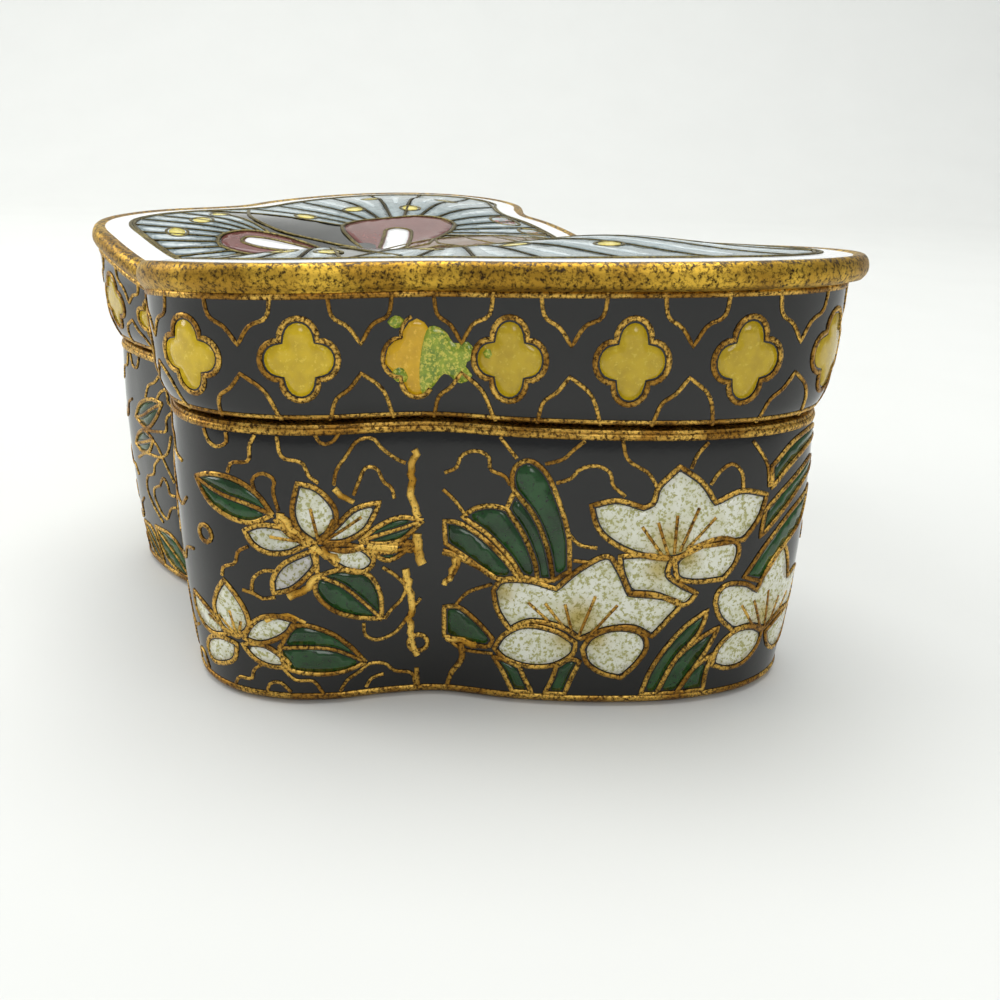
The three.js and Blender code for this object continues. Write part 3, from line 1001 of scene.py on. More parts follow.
@dataclass
class SideWall:
    """The picture round the base: flowers, leaves and cloud scrolls between two gilt lines."""

    foot_line: float = 0.66
    top_line: float = 20.9
    line_width: float = 0.26
    flowers: tuple[Cell, ...] = (
        # single flower with five pointed petals
        Cell("24.9 13.1, 23.9 14.0, 23.5 15.3, 23.9 17.4 / 25.0 17.1, 25.8 16.4, 26.4 15.3, 26.2 14.2, 24.9 13.1"),
        Cell("25.2 13.1, 26.4 14.3, 27.6 15.4, 29.4 15.8 / 28.9 14.7, 28.3 13.8, 26.9 13.1, 25.2 13.1"),
        Cell("24.7 13.2, 23.6 14.0, 22.4 14.3, 21.2 14.3, 20.1 13.8 / 20.6 12.9, 21.6 12.3, 23.2 12.4, 24.7 13.2",
             tint=(0.84, 0.84, 0.86)),
        Cell("24.7 12.5, 23.5 12.0, 22.5 11.3, 21.9 10.2, 21.9 9.2 / 23.2 9.6, 24.3 10.6, 24.9 11.5, 24.7 12.5",
             tint=(0.74, 0.72, 0.80)),
        Cell("25.3 12.7, 26.8 12.9, 28.2 12.4, 28.9 11.4, 28.2 10.7, 27.0 10.9, 26.0 11.7, 25.3 12.7"),
        # low flower by the tail
        Cell("18.8 5.2, 17.6 5.6, 16.8 7.0, 17.2 8.4, 18.1 9.7 / 19.0 8.7, 19.7 7.4, 19.8 6.2, 18.8 5.2"),
        Cell("19.3 5.2, 19.9 6.4, 20.9 7.2, 22.1 7.4, 23.3 7.1 / 22.7 6.1, 21.7 5.4, 20.5 5.0, 19.3 5.2"),
        Cell("17.9 5.2, 16.9 6.2, 15.6 7.0, 14.0 7.5 / 13.9 6.2, 14.8 5.2, 16.2 4.8, 17.9 5.2"),
        Cell("18.6 4.6, 17.2 4.8, 15.6 4.2, 14.9 3.1, 15.4 2.2, 16.8 2.4, 18.2 3.2, 18.6 4.6"),
        Cell("19.1 4.7, 20.8 4.9, 22.0 4.2, 22.7 3.4, 21.4 3.1, 20.0 3.6, 19.1 4.7"),
        # broad upper flower
        Cell("44 16.1, 45.8 16.5, 47.6 16.0 / 48.2 16.3, 48.5 17.4, 49.9 18.9 / 51.6 17.7, 52.7 16.2 /"
             "54.6 16.9, 56.8 16.4 / 56.3 14.7, 55.2 13.2 / 53.6 13.1, 52 13 / 50 12.2, 47.6 12.5, 45.8 13.3,"
             "44.6 14.4, 44 16.1"),
        Cell("50.1 12, 51.5 13, 53.5 13.5, 54.8 12.9, 54.8 11.6, 53.9 10.3 / 51.6 10.3, 50.4 10.7, 50.1 12"),
        Cell("46.2 12.4, 48 12.5, 49.9 12.2 / 49.7 11, 50.6 10.2, 52 9.4 / 51.2 8.5, 49 9.4, 47.1 9.6 /"
             "46.4 11.2, 46.2 12.4"),
        # broad lower flower
        Cell("37.5 9.3, 38 10.1, 40 10.3, 41.9 9.8 / 43.5 11.4, 45.4 12.4, 46.2 11.4, 47.1 9.5 / 49.5 9.2,"
             "50.8 8.6, 50 7.3, 49 6 / 47.5 6.8, 45.5 6.6, 43.8 5.8 / 42.5 6.7, 40.2 7.1, 38.7 6.3 / 37.8 7.8,"
             "37.5 9.3"),
        Cell("37.6 4.6, 38.3 5.8, 39.8 6.7, 42 6.4, 43.5 5.5 / 43.4 4.6, 42 3.5, 40 3.3, 38.3 3.9, 37.6 4.6"),
        Cell("44 5, 44.6 6, 46.3 6.7, 48.2 6.3, 48.7 5.2, 48.1 3.8, 47 2.5 / 45.6 2.9, 44.4 3.8, 44 5"),
        # flower on the wing's tip
        Cell("53.5 8.4, 53.6 9.2, 54.2 9.8, 56 9.6, 57 8.9 / 58 10.9, 59.4 11.9, 60.3 10.5, 60.8 9 / 62.5 9.2,"
             "64 8.4, 63.4 6.9, 62.2 6.1 / 60.4 6.2, 58.6 5.3 / 56.8 6, 55.3 5.9 / 54 7.2, 53.5 8.4"),
        Cell("54 3.1, 54.3 4.6, 55.6 5.8, 57.2 5.8, 58.4 5.1 / 58.2 4, 57 2.8, 55.4 2.6, 54 3.1"),
        Cell("58.9 4.9, 60.5 5.7, 62.4 5.9, 63.6 4.8, 62.6 3.4, 61 2.8, 59.6 3.5, 58.9 4.9"),
    )
    throats: tuple[Glow, ...] = (
        Glow((49.6, 13.4), 2.2), Glow((49.0, 11.4), 1.5), Glow((51.0, 12.2), 1.4),
        Glow((42.8, 5.9), 1.7), Glow((44.9, 5.9), 1.5), Glow((43.6, 7.6), 2.2), Glow((38.2, 9.2), 1.2),
        Glow((58.3, 6.6), 2.0), Glow((25.0, 13.3), 1.3), Glow((18.9, 5.6), 1.3),
    )
    stamens: tuple[str, ...] = (
        "25.2 13.0, 24.7 15.6", "25.3 13.1, 26.2 14.8", "25.4 13.1, 28.1 14.8", "24.8 13.1, 21.9 13.5",
        "18.6 5.3, 16.0 6.3", "18.6 5.4, 17.2 6.7", "18.7 5.4, 18.3 7.3", "18.9 5.4, 19.2 6.6", "19.3 5.4, 20.5 6.9",
        "49.2 12.4, 47.6 14.6", "49.6 12.4, 48.7 14.9", "50.0 12.5, 50.0 15.4", "50.4 12.7, 51.5 15.9",
        "50.9 12.9, 52.8 15.1",
        "42.0 6.7, 40.0 8.6", "42.6 6.7, 41.2 8.6", "43.2 6.3, 42.6 8.6", "43.7 6.1, 44.7 9.3", "44.6 6.3, 46.3 8.6",
        "57.2 5.9, 55.8 7.9", "58.0 5.7, 56.9 8.1", "58.6 5.5, 58.3 8.6", "59.2 5.7, 59.8 7.7",
        "60.0 6.0, 61.2 7.6",
    )
    leaves: tuple[Leaf, ...] = (
        Leaf("22.2 15.1, 21.2 16.5, 19.6 17.4, 17.6 17.5, 16.1 17.0", "22.2 15.1, 20.6 14.4, 18.8 14.7, 17.2 15.6,"
             "16.1 17.0", "22.2 15.1, 20.6 15.7, 18.5 16.2, 16.1 17.0"),
        Leaf("27.9 13.0, 29.2 14.0, 30.8 14.6, 32.4 14.3", "27.9 13.0, 29.3 12.7, 30.8 12.9, 32.4 14.3",
             "27.9 13.0, 29.4 13.4, 30.9 13.8, 32.4 14.3"),
        Leaf("28.6 12.2, 29.8 12.6, 31.7 12.5", "28.6 12.2, 29.9 11.4, 31.7 12.5", "28.6 12.2, 30.0 12.0, 31.7 12.5"),
        Leaf("25.0 10.6, 24.8 9.4, 25.8 8.0, 27.4 7.2, 29.4 6.8", "25.0 10.6, 26.6 11.0, 28.5 10.4, 29.3 8.9,"
             "29.4 6.8", "25.0 10.6, 26.6 9.8, 28.0 8.4, 29.4 6.8"),
        Leaf("22.0 4.8, 23.4 6.7, 25.6 6.1, 27.0 4.9, 28.2 3.3", "22.0 4.8, 22.4 3.2, 24.5 2.6, 26.6 2.7,"
             "28.2 3.3", "22.0 4.8, 24.0 4.9, 26.0 4.6, 28.2 3.3", 1.25),
    )
    blades: tuple[Cell, ...] = (
        Cell("42.8 11.2, 42.6 13.8, 41.8 16.4, 40.8 18.4, 39.7 19.1, 38.8 18.6, 38.6 17.6, 38.8 16.9 / 40.2 15.2,"
             "41.2 12.8, 41.7 10.4 / 42.8 11.2", Colour.LEAF),
        Cell("38.8 16.9, 40.2 15.2, 41.2 12.8, 41.7 10.4 / 40.6 10.4 / 40.4 11.6, 39.5 13.8, 38.3 15.6 / 38.8 16.9",
             Colour.LEAF),
        Cell("38.3 15.6, 39.5 13.8, 40.4 11.6, 40.6 10.4 / 39.5 10.6 / 38.6 12, 37 13.6, 35.2 14.7 / 36.1 15.4,"
             "37.2 15.7, 38.3 15.6", Colour.LEAF),
        Cell("33.9 14.3, 35 14.2, 36.8 13.2, 38.6 11.4, 39.2 10.5 / 37.7 10.3, 35.8 11.5, 34 12.6 / 33.9 14.3",
             Colour.LEAF),
        Cell("33.9 7.6, 34.9 7.7, 36.3 6.7, 37.5 5.4 / 37.2 4.7, 35.4 4.8, 33.9 5.2 / 33.9 7.6", Colour.LEAF,
             (1.15, 1.2, 1.0)),
        Cell("39.5 3.2, 39.9 2.2, 40.5 1 / 39 1 / 38.2 2.8, 37.5 3.9 / 38.4 3.7, 39.5 3.2", Colour.LEAF),
        Cell("42.2 3.4, 41.9 2.2, 41.4 1 / 42.9 1 / 43.4 2.6, 43.9 3.9 / 43.2 4.1, 42.2 3.4", Colour.LEAF),
        Cell("48.6 1, 49.2 3.2, 50.3 5.3, 51.5 6.8, 53 7.9 / 52.6 6.2, 51 4, 49.8 1 / 48.6 1", Colour.LEAF,
             (1.2, 1.2, 1.0)),
        Cell("49.8 1, 51 4, 52.4 5.4, 54.1 6.4 / 53.4 4.6, 52.5 3, 51.4 1 / 49.8 1", Colour.LEAF),
        Cell("51.4 1, 52.5 3, 53.9 4.1 / 53.6 2.6, 53.6 1 / 51.4 1", Colour.LEAF),
        Cell("55.6 10.2, 57.3 12.5, 59.9 14.6, 63.2 15.6 / 61.8 13.4, 59.3 11.9, 57.2 9.6 / 55.6 10.2", Colour.LEAF,
             (1.1, 1.2, 1.0)),
        Cell("56.6 13.2, 58.6 14.8, 61 16.4, 64.2 17.4 / 62.3 18.0, 58.7 16.6, 56.8 15.2 / 56.6 13.2", Colour.LEAF),
        Cell("57.2 16.8, 59 18.2, 61.6 19.2, 65 19.4 / 62.6 20.3, 59.2 19.9, 57.0 18.4 / 57.2 16.8", Colour.LEAF),
    )
    clouds: tuple[str, ...] = (
        "19.1 17.8, 19.4 18.5, 20.7 18.8, 20.8 19.8, 21.2 20.6", "22.7 20.6, 23 19.2, 24.3 18.8, 24.7 17.9, 25.3 17.4",
        "21 16.8, 20.9 17.5, 21.6 18, 22.4 17.6, 22.3 16.8, 22.6 15.4",
        "26.3 17.2, 26.5 18.2, 27.2 19.2, 28 20.2, 29 20.3, 29.6 19.6, 30.6 18.8, 31.2 18.5",
        "27.6 16.4, 28 17.4, 28.5 18.3, 29.2 18.2, 29.7 17.2, 30.2 16.8, 30.4 16",
        "18 10, 18.2 10.7, 19.2 11.2, 19.5 12.1, 20.3 12.6", "19.6 9.2, 20.5 9, 21 8.7, 22 8.9",
        "20.3 9, 20.5 10.2, 21.4 10.9, 22.2 10.9", "17.9 1, 18.4 1.7, 19.5 1.8, 19.8 2.6, 20.5 3.2",
        "22 3.3, 23 2.1, 24.3 2, 25 0.9", "20.7 0.9, 21 1.6, 21.8 1.8, 22.6 1",
        "26.3 1, 26.8 1.9, 27.8 2.6, 28.4 3.1, 29.6 3, 30.3 2.3, 31.5 2, 31.8 1", "28.2 1.1, 28.6 1.8, 29.5 2.1",
        "28.1 6.6, 28.2 5.6, 29 5.1, 30.2 5.5, 31 6.4, 31.6 7.4, 32.2 8.3",
        "29.5 10.9, 30.3 10.3, 31.1 9.3, 30.9 8.4, 30 7.4, 29.6 6.8",
        "17.2 20.6, 17.6 19.8, 18.3 19.5, 19.1 19.9, 19.1 20.6", "25.2 20.7, 25.6 20.1, 26.3 20.2, 26.8 20.8",
        "33.9 17.8, 34.7 18.2, 35.1 19.1, 36.2 19.5, 37 19.1, 37.1 18.3, 38.1 17.9, 38.5 17.3",
        "33.8 16.6, 34.6 15.9, 35.3 15", "37.7 20.6, 38.3 19.9, 38.9 19.2", "40.8 18.9, 42 19.3, 42.7 20, 43.4 20.6",
        "41.6 17.6, 42.6 18, 43.1 18.6, 44.3 18.9, 45.2 18.4, 45.4 17.6, 46.3 16.8",
        "45.9 20.7, 46.3 19.4, 47.8 18.4, 48.4 17.5", "52.2 17.5, 52.8 18.4, 53.7 18.9, 54.5 18.2, 54.7 17.1",
        "50.7 18.7, 51.1 19.7, 51.8 20.5", "55.2 20.4, 56.6 18.5, 56.9 16.9",
        "34.8 7.9, 35.6 8.9, 37.4 9.8", "34 5, 35.2 4.2, 37.5 4.1", "42.6 14.0, 43.4 13.2, 44.6 13.0",
        "43.0 12.0, 44.2 11.9",
    )
    branches: tuple[str, ...] = (
        "33.8 12, 34.9 11.6, 34.6 10.4, 34 9.6", "34.9 11.7, 36.5 11, 37.9 10.2", "35.1 4.7, 35.2 3.4, 34.4 2, 34.1 0.9",
        "31.9 0.8, 31.9 2.4", "28.2 12.6, 27.0 12.4, 25.6 12.7", "22.4 14.9, 23.4 13.6, 24.6 12.9",
        "24.9 12.4, 25.0 10.8",
    )
    rings: tuple[tuple[float, float, float], ...] = ((16.7, 12.9, 0.65), (32.0, 4.6, 0.7), (31.4, 12.4, 0.4))
    tail_clouds: tuple[str, ...] = (
        "3.5 20.4, 5 19, 6.3 18.4, 7 17.3", "5 17.3, 4.2 18.2, 3.2 18.6, 3.1 17.6, 2.4 17.1, 3.5 16, 3.6 15, 4.9 14.6,"
        "7.4 14.2", "7.4 14, 5.6 13.2, 4.5 12, 3.2 10.3", "10.3 10.9, 8 11.9, 5.2 12.2, 3.8 12.9, 3 14.6",
        "5.4 12, 6.5 11.1, 6.8 10.3, 8.5 9.5, 9 8.2, 8 6.8, 6.4 5.6", "5.8 9.5, 5 10.3, 4.4 9.8, 4.2 9, 3.3 9",
        "5.8 9.4, 7.3 8.6, 7.3 7.6, 5.6 6.2, 4.3 7.6, 3.4 7.9", "10.8 20.5, 11.2 19.4, 12.4 19.0, 12.8 18.0, 14.2 17.6",
        "10.4 16.4, 11.6 15.8, 12.2 14.6, 13.6 14.2, 14.6 15.0", "11.0 9.0, 11.8 9.8, 13.0 9.8, 13.6 10.8, 15.0 11.2",
        "0.0 8.0, 0.9 6.8, 2.2 6.6, 2.6 5.4",
        "0.0 3.2, 1.2 2.6, 1.6 1.0", "0.0 13.4, 1.4 13.0, 2.0 11.8, 1.4 10.8, 0.0 10.6", "0.0 18.8, 1.2 18.2, 1.4 17.2",
        "8.0 20.6, 8.6 19.6, 9.6 19.6, 10.2 20.6", "10.6 6.8, 11.6 6.0, 11.8 4.8, 12.9 4.2, 13.8 4.6",
        "12.2 1.0, 12.6 2.0, 13.8 2.2, 14.4 1.0",
    )
    tail_leaves: tuple[Leaf, ...] = (
        Leaf("4 17.3, 6 17.3, 8.5 16.3, 9.8 14.9", "4 17.3, 5.3 15.7, 7.3 14.4, 9.8 14.9",
             "4 17.3, 6 16.4, 8 15.4, 9.8 14.9"),
        Leaf("6.2 13.6, 7.8 14.1, 9.6 13.3, 10.6 12.2", "6.2 13.6, 7.2 12.3, 9.0 11.8, 10.6 12.2",
             "6.2 13.6, 8.2 12.9, 10.6 12.2"),
        Leaf("3.0 1.0, 3.0 2.8, 5.0 4.6, 8.6 4.6", "3.0 1.0, 5.0 1.0, 7.4 2.2, 8.6 4.6",
             "3.0 1.0, 4.8 2.6, 8.6 4.6", 1.25),
        Leaf("8.0 1.0, 8.6 2.8, 9.8 4.0, 12.2 4.0", "8.0 1.0, 9.8 1.0, 11.2 2.2, 12.2 4.0",
             "8.0 1.0, 9.8 2.4, 12.2 4.0"),
    )
    head_clouds: tuple[tuple[float, float, float, float], ...] = (
        (66.5, 12.0, 1.0, 0.0), (70.6, 18.2, 0.95, 10.0), (75.5, 14.0, 1.05, -12.0), (80.5, 18.0, 0.9, 5.0),
        (85.5, 13.4, 1.0, 14.0), (91.2, 17.6, 0.95, -8.0), (72.5, 8.4, 0.9, 18.0), (90.6, 8.6, 1.0, 0.0),
        (68.0, 2.6, 0.8, 0.0), (76.2, 2.5, 0.8, 0.0), (84.4, 2.5, 0.8, 0.0), (92.6, 2.6, 0.8, 0.0),
    )
    cloud_shape: str = ("-2.9 -0.9, -2.6 0.2, -1.6 0.3, -1.3 1.2, -0.3 1.9, 0.8 1.6, 1.1 0.7, 2.1 0.5, 2.7 -0.4,"
                        "2.4 -1.2 / 1.4 -1.1, 0.9 -0.3, -0.1 -0.2, -0.7 -1.0, -1.8 -1.2")
    bloom_petal: str = "0.3 0, -0.9 1.1, -1.1 2.4, 0 3.9 / 1.1 2.4, 0.9 1.1, 0.3 0"

    def build(self) -> None:
        """Draw both sides, the tail, the head and the gilt lines, and make the pieces."""
        picture = Picture("wall", FORM.base_wall, "base_enamel")
        for flip in (1.0, -1.0):
            picture.glows = [Glow((flip * g.centre[0], g.centre[1]), g.radius, g.colour) for g in self.throats]
            picture.cells(self.flowers, flip)
            picture.glows = []
            picture.cells(self.blades, flip)
            for item in self.leaves + self.tail_leaves:
                picture.leaf(item, flip)
            picture.lines(self.stamens, THIN_WIRE, flip)
            picture.lines(self.clouds + self.tail_clouds, THIN_WIRE * 1.1, flip)
            picture.lines(self.branches, (WIRE * 1.5, WIRE), flip)
            for s, z, radius in self.rings:
                picture.wires.add(arc((s * flip, z), radius, 0, 348), WIRE, closed=True)
            self._head(picture, flip)
        around = np.arange(0.0, FORM.length, POINT_STEP)
        for height in (self.foot_line, self.top_line):
            picture.wires.add(np.column_stack([around, np.full_like(around, height)]), self.line_width, closed=True,
                              lift=0.0)
        picture.finish()
        self._blooms()

    def _head(self, picture: Picture, flip: float) -> None:
        """A plainer run of clouds and two small flowers round the head."""
        shape = drawn(self.cloud_shape, False)
        for s, z, scale, angle in self.head_clouds:
            line = turned(shape, angle, (s, z), scale)
            picture.wires.add(line * [flip, 1.0], THIN_WIRE * 1.1)
        petal = drawn(self.bloom_petal, True)
        for s, z in ((80.6, 8.6), (95.2, 12.8)):
            if s > 95 and flip < 0:
                continue
            picture.glows = [Glow((flip * s, z), 1.5)]
            for angle in range(0, 360, 72):
                picture.cell(turned(petal, angle, (s, z)) * [flip, 1.0], Colour.PETAL)
                picture.wires.add(turned(arc((0, 0), 0.6, 90, 91, 0.1) + [0, 1.1], angle, (s, z)) * [flip, 1.0],
                                  THIN_WIRE)
            picture.glows = []

    def _blooms(self) -> None:
        """Gold that ran in the firing: ragged patches by the side notch and round the leaves' feet."""
        rng = random.Random(7)
        runs = WireLines("wall_run_gilding", Colour.BLOOM, FORM.base_wall)
        patches = (("31.9 19.4, 31.6 16.8, 32.0 14.6", 0.42), ("31.9 13.4, 32.2 11.0", 0.4),
                   ("31.0 10.6, 31.6 8.2, 31.4 6.0, 32.0 3.6", 0.36), ("24.6 12.9, 25.6 12.3, 26.6 11.6", 0.34),
                   ("23.0 9.0, 24.2 9.6, 25.0 10.6", 0.26), ("28.4 12.6, 29.4 12.4, 30.6 12.2", 0.3),
                   ("22.6 15.2, 23.4 14.2, 24.2 13.4", 0.3), ("26.4 17.0, 27.0 16.2, 27.6 15.9", 0.26),
                   ("21.2 6.9, 22.6 7.5, 24.0 6.9", 0.24), ("33.9 5.0, 35.0 4.9, 36.2 4.6", 0.3),
                   ("33.9 9.4, 34.5 10.4, 34.9 11.6", 0.3))
        for text, width in patches:
            line = drawn(text, False)
            steps = [rng.uniform(0.45, 1.25) for _ in line]
            radii = np.convolve(np.r_[steps[:1], steps, steps[-1:]], [0.25, 0.5, 0.25], "valid") * width
            wobble = np.array([[rng.uniform(-0.16, 0.16), rng.uniform(-0.1, 0.1)] for _ in line])
            runs.add(line + wobble, radii, lift=0.0)
        enlist(runs.piece(), "gilt")


@dataclass
class LidSide:
    """The picture round the lid: yellow quatrefoils with small peaks of wire between them."""

    middle: float = 4.0
    lobe: float = 1.12
    lobe_reach: float = 1.22
    units_per_mm: float = 1.1
    places: tuple[float, ...] = (2.8, 10.0, 17.3, 24.5, 32.0, 38.3, 46.0, 53.5, 61.0, 68.4, 75.8, 83.2, 91.0)
    valley: str = "-2.0 4.0, -1.7 2.6, -0.8 2.0, 0 0.9 / 0.8 2.1, 1.8 2.6, 2.1 4.0"
    peak: str = "-2.0 -4.0, -1.6 -2.5, -0.8 -1.9, 0 -0.9 / 1.4 -2.0, 2.2 -4.0"
    chipped: float = 32.0

    def build(self) -> None:
        """Draw the row, leaving the chipped quatrefoil for the fired run over it."""
        picture = Picture("lid_side", FORM.lid_side, "lid_enamel")
        for flip in (1.0, -1.0):
            for s in self.places:
                if s == self.chipped and flip > 0:
                    self._chipped(picture)
                    continue
                # quatrefoils outside s 14 to 36 are darkened to 0.82 on both sides: painted shade
                painted_shade_factor = 1.0 if 14 < s < 36 else 0.82
                picture.cell(self._foil((s * flip, self.middle)), Colour.YELLOW, (1.0 * painted_shade_factor, 0.97 * painted_shade_factor, painted_shade_factor),
                             WIRE * 1.05)
            ends = list(self.places) + [2 * 95.2 - self.places[-1]]
            for first, second in zip(ends, ends[1:]):
                self._between(picture, (first + second) / 2, flip)
        self._between(picture, 0.0, 1.0)
        around = np.arange(0.0, FORM.length, POINT_STEP)
        for v, width in ((0.22, 0.2), (7.85, 0.22)):
            picture.wires.add(np.column_stack([around, np.full_like(around, v)]), width, closed=True, lift=0.0)
        picture.finish()

    def _foil(self, centre: Point) -> np.ndarray:
        """A quatrefoil's outline: four arcs that meet at the diagonals."""
        reach, radius = self.lobe_reach, self.lobe
        near = (reach + math.sqrt(2 * radius ** 2 - reach ** 2)) / 2
        spread = math.degrees(math.atan2(near, near - reach))
        parts = [arc((reach * math.cos(a), reach * math.sin(a)), radius, math.degrees(a) - spread,
                     math.degrees(a) + spread)[:-1] for a in (0.0, math.pi / 2, math.pi, 1.5 * math.pi)]
        line = np.vstack(parts)
        return line * [1.0, self.units_per_mm] + np.array(centre)

    def _between(self, picture: Picture, s: float, flip: float) -> None:
        """The two small peaks between neighbours."""
        for text in (self.valley, self.peak):
            picture.wires.add((drawn(text, False) + [s, self.middle]) * [flip, 1.0], THIN_WIRE * 1.15)

    def _chipped(self, picture: Picture) -> None:
        """The quatrefoil whose wire is lost on one side, with its enamel run into the black."""
        s, v = self.chipped, self.middle
        foil = self._foil((s, v))
        ragged = foil + 0.09 * np.column_stack([np.sin(np.arange(len(foil)) * 2.3), np.cos(np.arange(len(foil)) * 3.1)])
        picture.pad(Colour.YELLOW).add(ragged, 0.12, CELL_LIFT, (1.05, 0.86, 0.8), [])
        left = foil[(foil[:, 0] < s - 0.2) | (foil[:, 1] < v - 1.9)]
        left = left[np.argsort(np.arctan2(-(left[:, 1] - v), -(left[:, 0] - s)))]
        picture.wires.add(left, (THIN_WIRE, WIRE))
        run = drawn("32.9 5.9, 34.0 5.6, 34.6 4.9, 35.6 5.0, 36.1 4.2, 35.4 3.6, 35.9 2.9, 35.0 2.4, 34.0 3.0, 33.0 2.0,"
                    "32.4 1.6, 32.2 3.6", True)
        picture.pad(Colour.SMEAR).add(run, 0.0, CELL_LIFT * 1.6, (1.0, 1.0, 1.0), [])
        for spot in ("30.2 3.0, 30.8 2.4, 31.4 2.6, 30.9 3.4", "30.0 6.2, 30.6 6.6, 31.2 6.2, 30.6 5.8",
                     "36.6 4.4, 37.0 4.7, 37.2 4.2, 36.9 4.0"):
            picture.pad(Colour.SMEAR).add(drawn(spot, True), 0.0, CELL_LIFT * 1.4, (1.0, 1.0, 1.0), [])


@dataclass
class WingTop:
    """The butterfly inlaid in the lid: two pairs of wings, their eyes and spots, and the body between."""

    border: str = ""
    wing_line: str = ("4 -3, 6.2 -5.6, 8.5 -8.5, 10.5 -9.5, 12.8 -9.9, 15 -9.7, 17.8 -9.1, 20 -8.5")
    fore_red: str = ("0.9 2.6, 3.2 4.2, 5 6, 7 7.8, 9 8.8, 11.0 8.4, 12.1 6.6, 12.2 4, 11.9 0, 10.5 -2, 8.8 -2.6,"
                     "7 -2.7, 5 -2.7, 3 -2.6 / 1.6 -0.6, 0.9 2.6")
    fore_eye: str = "2.6 -1.3, 4.6 -0.4, 6.6 0.6, 8.2 1.5, 8.4 2.7, 7.4 3.5, 5.8 3.0, 3.6 1.9, 1.9 0.9, 1.6 -0.5"
    hind_red: str = "3.9 -6.1, 5.8 -7.1, 7.6 -9, 8.8 -11.8, 8.1 -13.9, 6.2 -14.6, 4.2 -13.2, 3.2 -10, 3.2 -7.6"
    hind_eye: str = "4.2 -7.0, 5.8 -8.6, 7.0 -10.6, 7.3 -12.0, 6.4 -12.6, 5.2 -11.6, 4.2 -9.4, 3.8 -7.8"
    fore_spots: tuple[tuple[float, float, float, float], ...] = (
        (15.3, 6.8, 1.1, 1.0), (17.3, 1.5, 1.2, 1.1), (14.8, -4.3, 1.5, 1.0), (21.5, 13.6, 1.3, 1.2),
        (23.4, 5.6, 1.1, 1.0))
    hind_spots: tuple[tuple[float, float, float, float], ...] = ((13.2, -14.5, 1.4, 1.0), (9.7, -17.4, 1.3, 0.9),
                                                                  (16.2, -12.2, 1.2, 0.9))
    thorax: str = "-1.9 -1.6, -2.9 2, -3.4 6, -3.5 10, -3.1 13.4, -1.7 15.2, 0 15.7, 1.7 15.2, 3.1 13.4, 3.5 10, 3.4 6, 2.9 2, 1.9 -1.6, 0 -2.2"
    abdomen: str = "0 -2.6, 1.5 -3.4, 2.1 -6, 2.0 -9.5, 1.3 -13, 0 -15.6, -1.3 -13, -2.0 -9.5, -2.1 -6, -1.5 -3.4"
    eye: str = "3.1 16.1, 3.9 14.6, 5.6 14.2, 6.6 15.0, 5.8 16.2, 4.4 16.6"
    shoulder: str = "8.2 15.6, 10.4 16.2, 12.8 15.9, 12.0 14.4, 10.0 13.6, 8.4 14.2"

    def build(self) -> None:
        """Draw both wings and the body, and make the pieces."""
        picture = Picture("wing", FORM.top, "lid_enamel", Colour.PALE_WIRE)
        inner = FORM.ring(lambda x: FORM.plate_reach(x) - FORM.border_width, 0.0)[:, :2]
        picture.wires.add(inner[::2], WIRE * 0.9, closed=True)
        edge = shrunk(inner, 0.28)
        for flip in (1.0, -1.0):
            mirror = np.array([flip, 1.0])
            self._wing(picture, edge * mirror if flip < 0 else edge, mirror)
        for text in (self.thorax, self.abdomen):
            picture.cell(drawn(text, True), Colour.BROWN, wire=WIRE)
        for y in (13.0, 10.2, 7.2, 4.2, 1.4):
            half = 3.0 if y < 12 else 2.2
            picture.wires.add(smooth(np.array([[-half, y], [0, y - 0.9], [half, y]])), THIN_WIRE)
        for y in (-5.0, -7.4, -9.8, -12.0):
            half = 1.7 if y > -9 else 1.3
            picture.wires.add(smooth(np.array([[-half, y], [0, y - 0.5], [half, y]])), THIN_WIRE)
        picture.finish()

    def _wing(self, picture: Picture, edge: np.ndarray, mirror: np.ndarray) -> None:
        """One side: cells that fan from the red ones to the border, cut out of the wing by rays."""
        for text in (self.fore_red, self.hind_red):
            picture.cell(drawn(text, True) * mirror, Colour.RED)
        for text in (self.fore_eye, self.hind_eye):
            line = drawn(text, True)
            picture.cell(line * mirror, Colour.WHITE, lift=CELL_LIFT * 1.8)
        for text, colour in ((self.eye, Colour.ORANGE), (self.shoulder, Colour.SALMON)):
            picture.cell(drawn(text, True) * mirror, colour)
        for x, y, across, up in self.fore_spots + self.hind_spots:
            ring = arc((0, 0), 1.0, 0, 340, 0.3) * [across, up] + [x, y]
            picture.cell(ring * mirror, Colour.DOT, lift=CELL_LIFT * 1.8, wire=THIN_WIRE * 1.1)
        picture.lines((self.wing_line,), WIRE, mirror[0])
        edge = edge * mirror
        self._fan(picture, edge, mirror, (6.5, 2.0), drawn(self.fore_red, True), -46.0, 112.0, 13)
        self._fan(picture, edge, mirror, (5.4, -9.0), drawn(self.hind_red, True), -108.0, -14.0, 9)

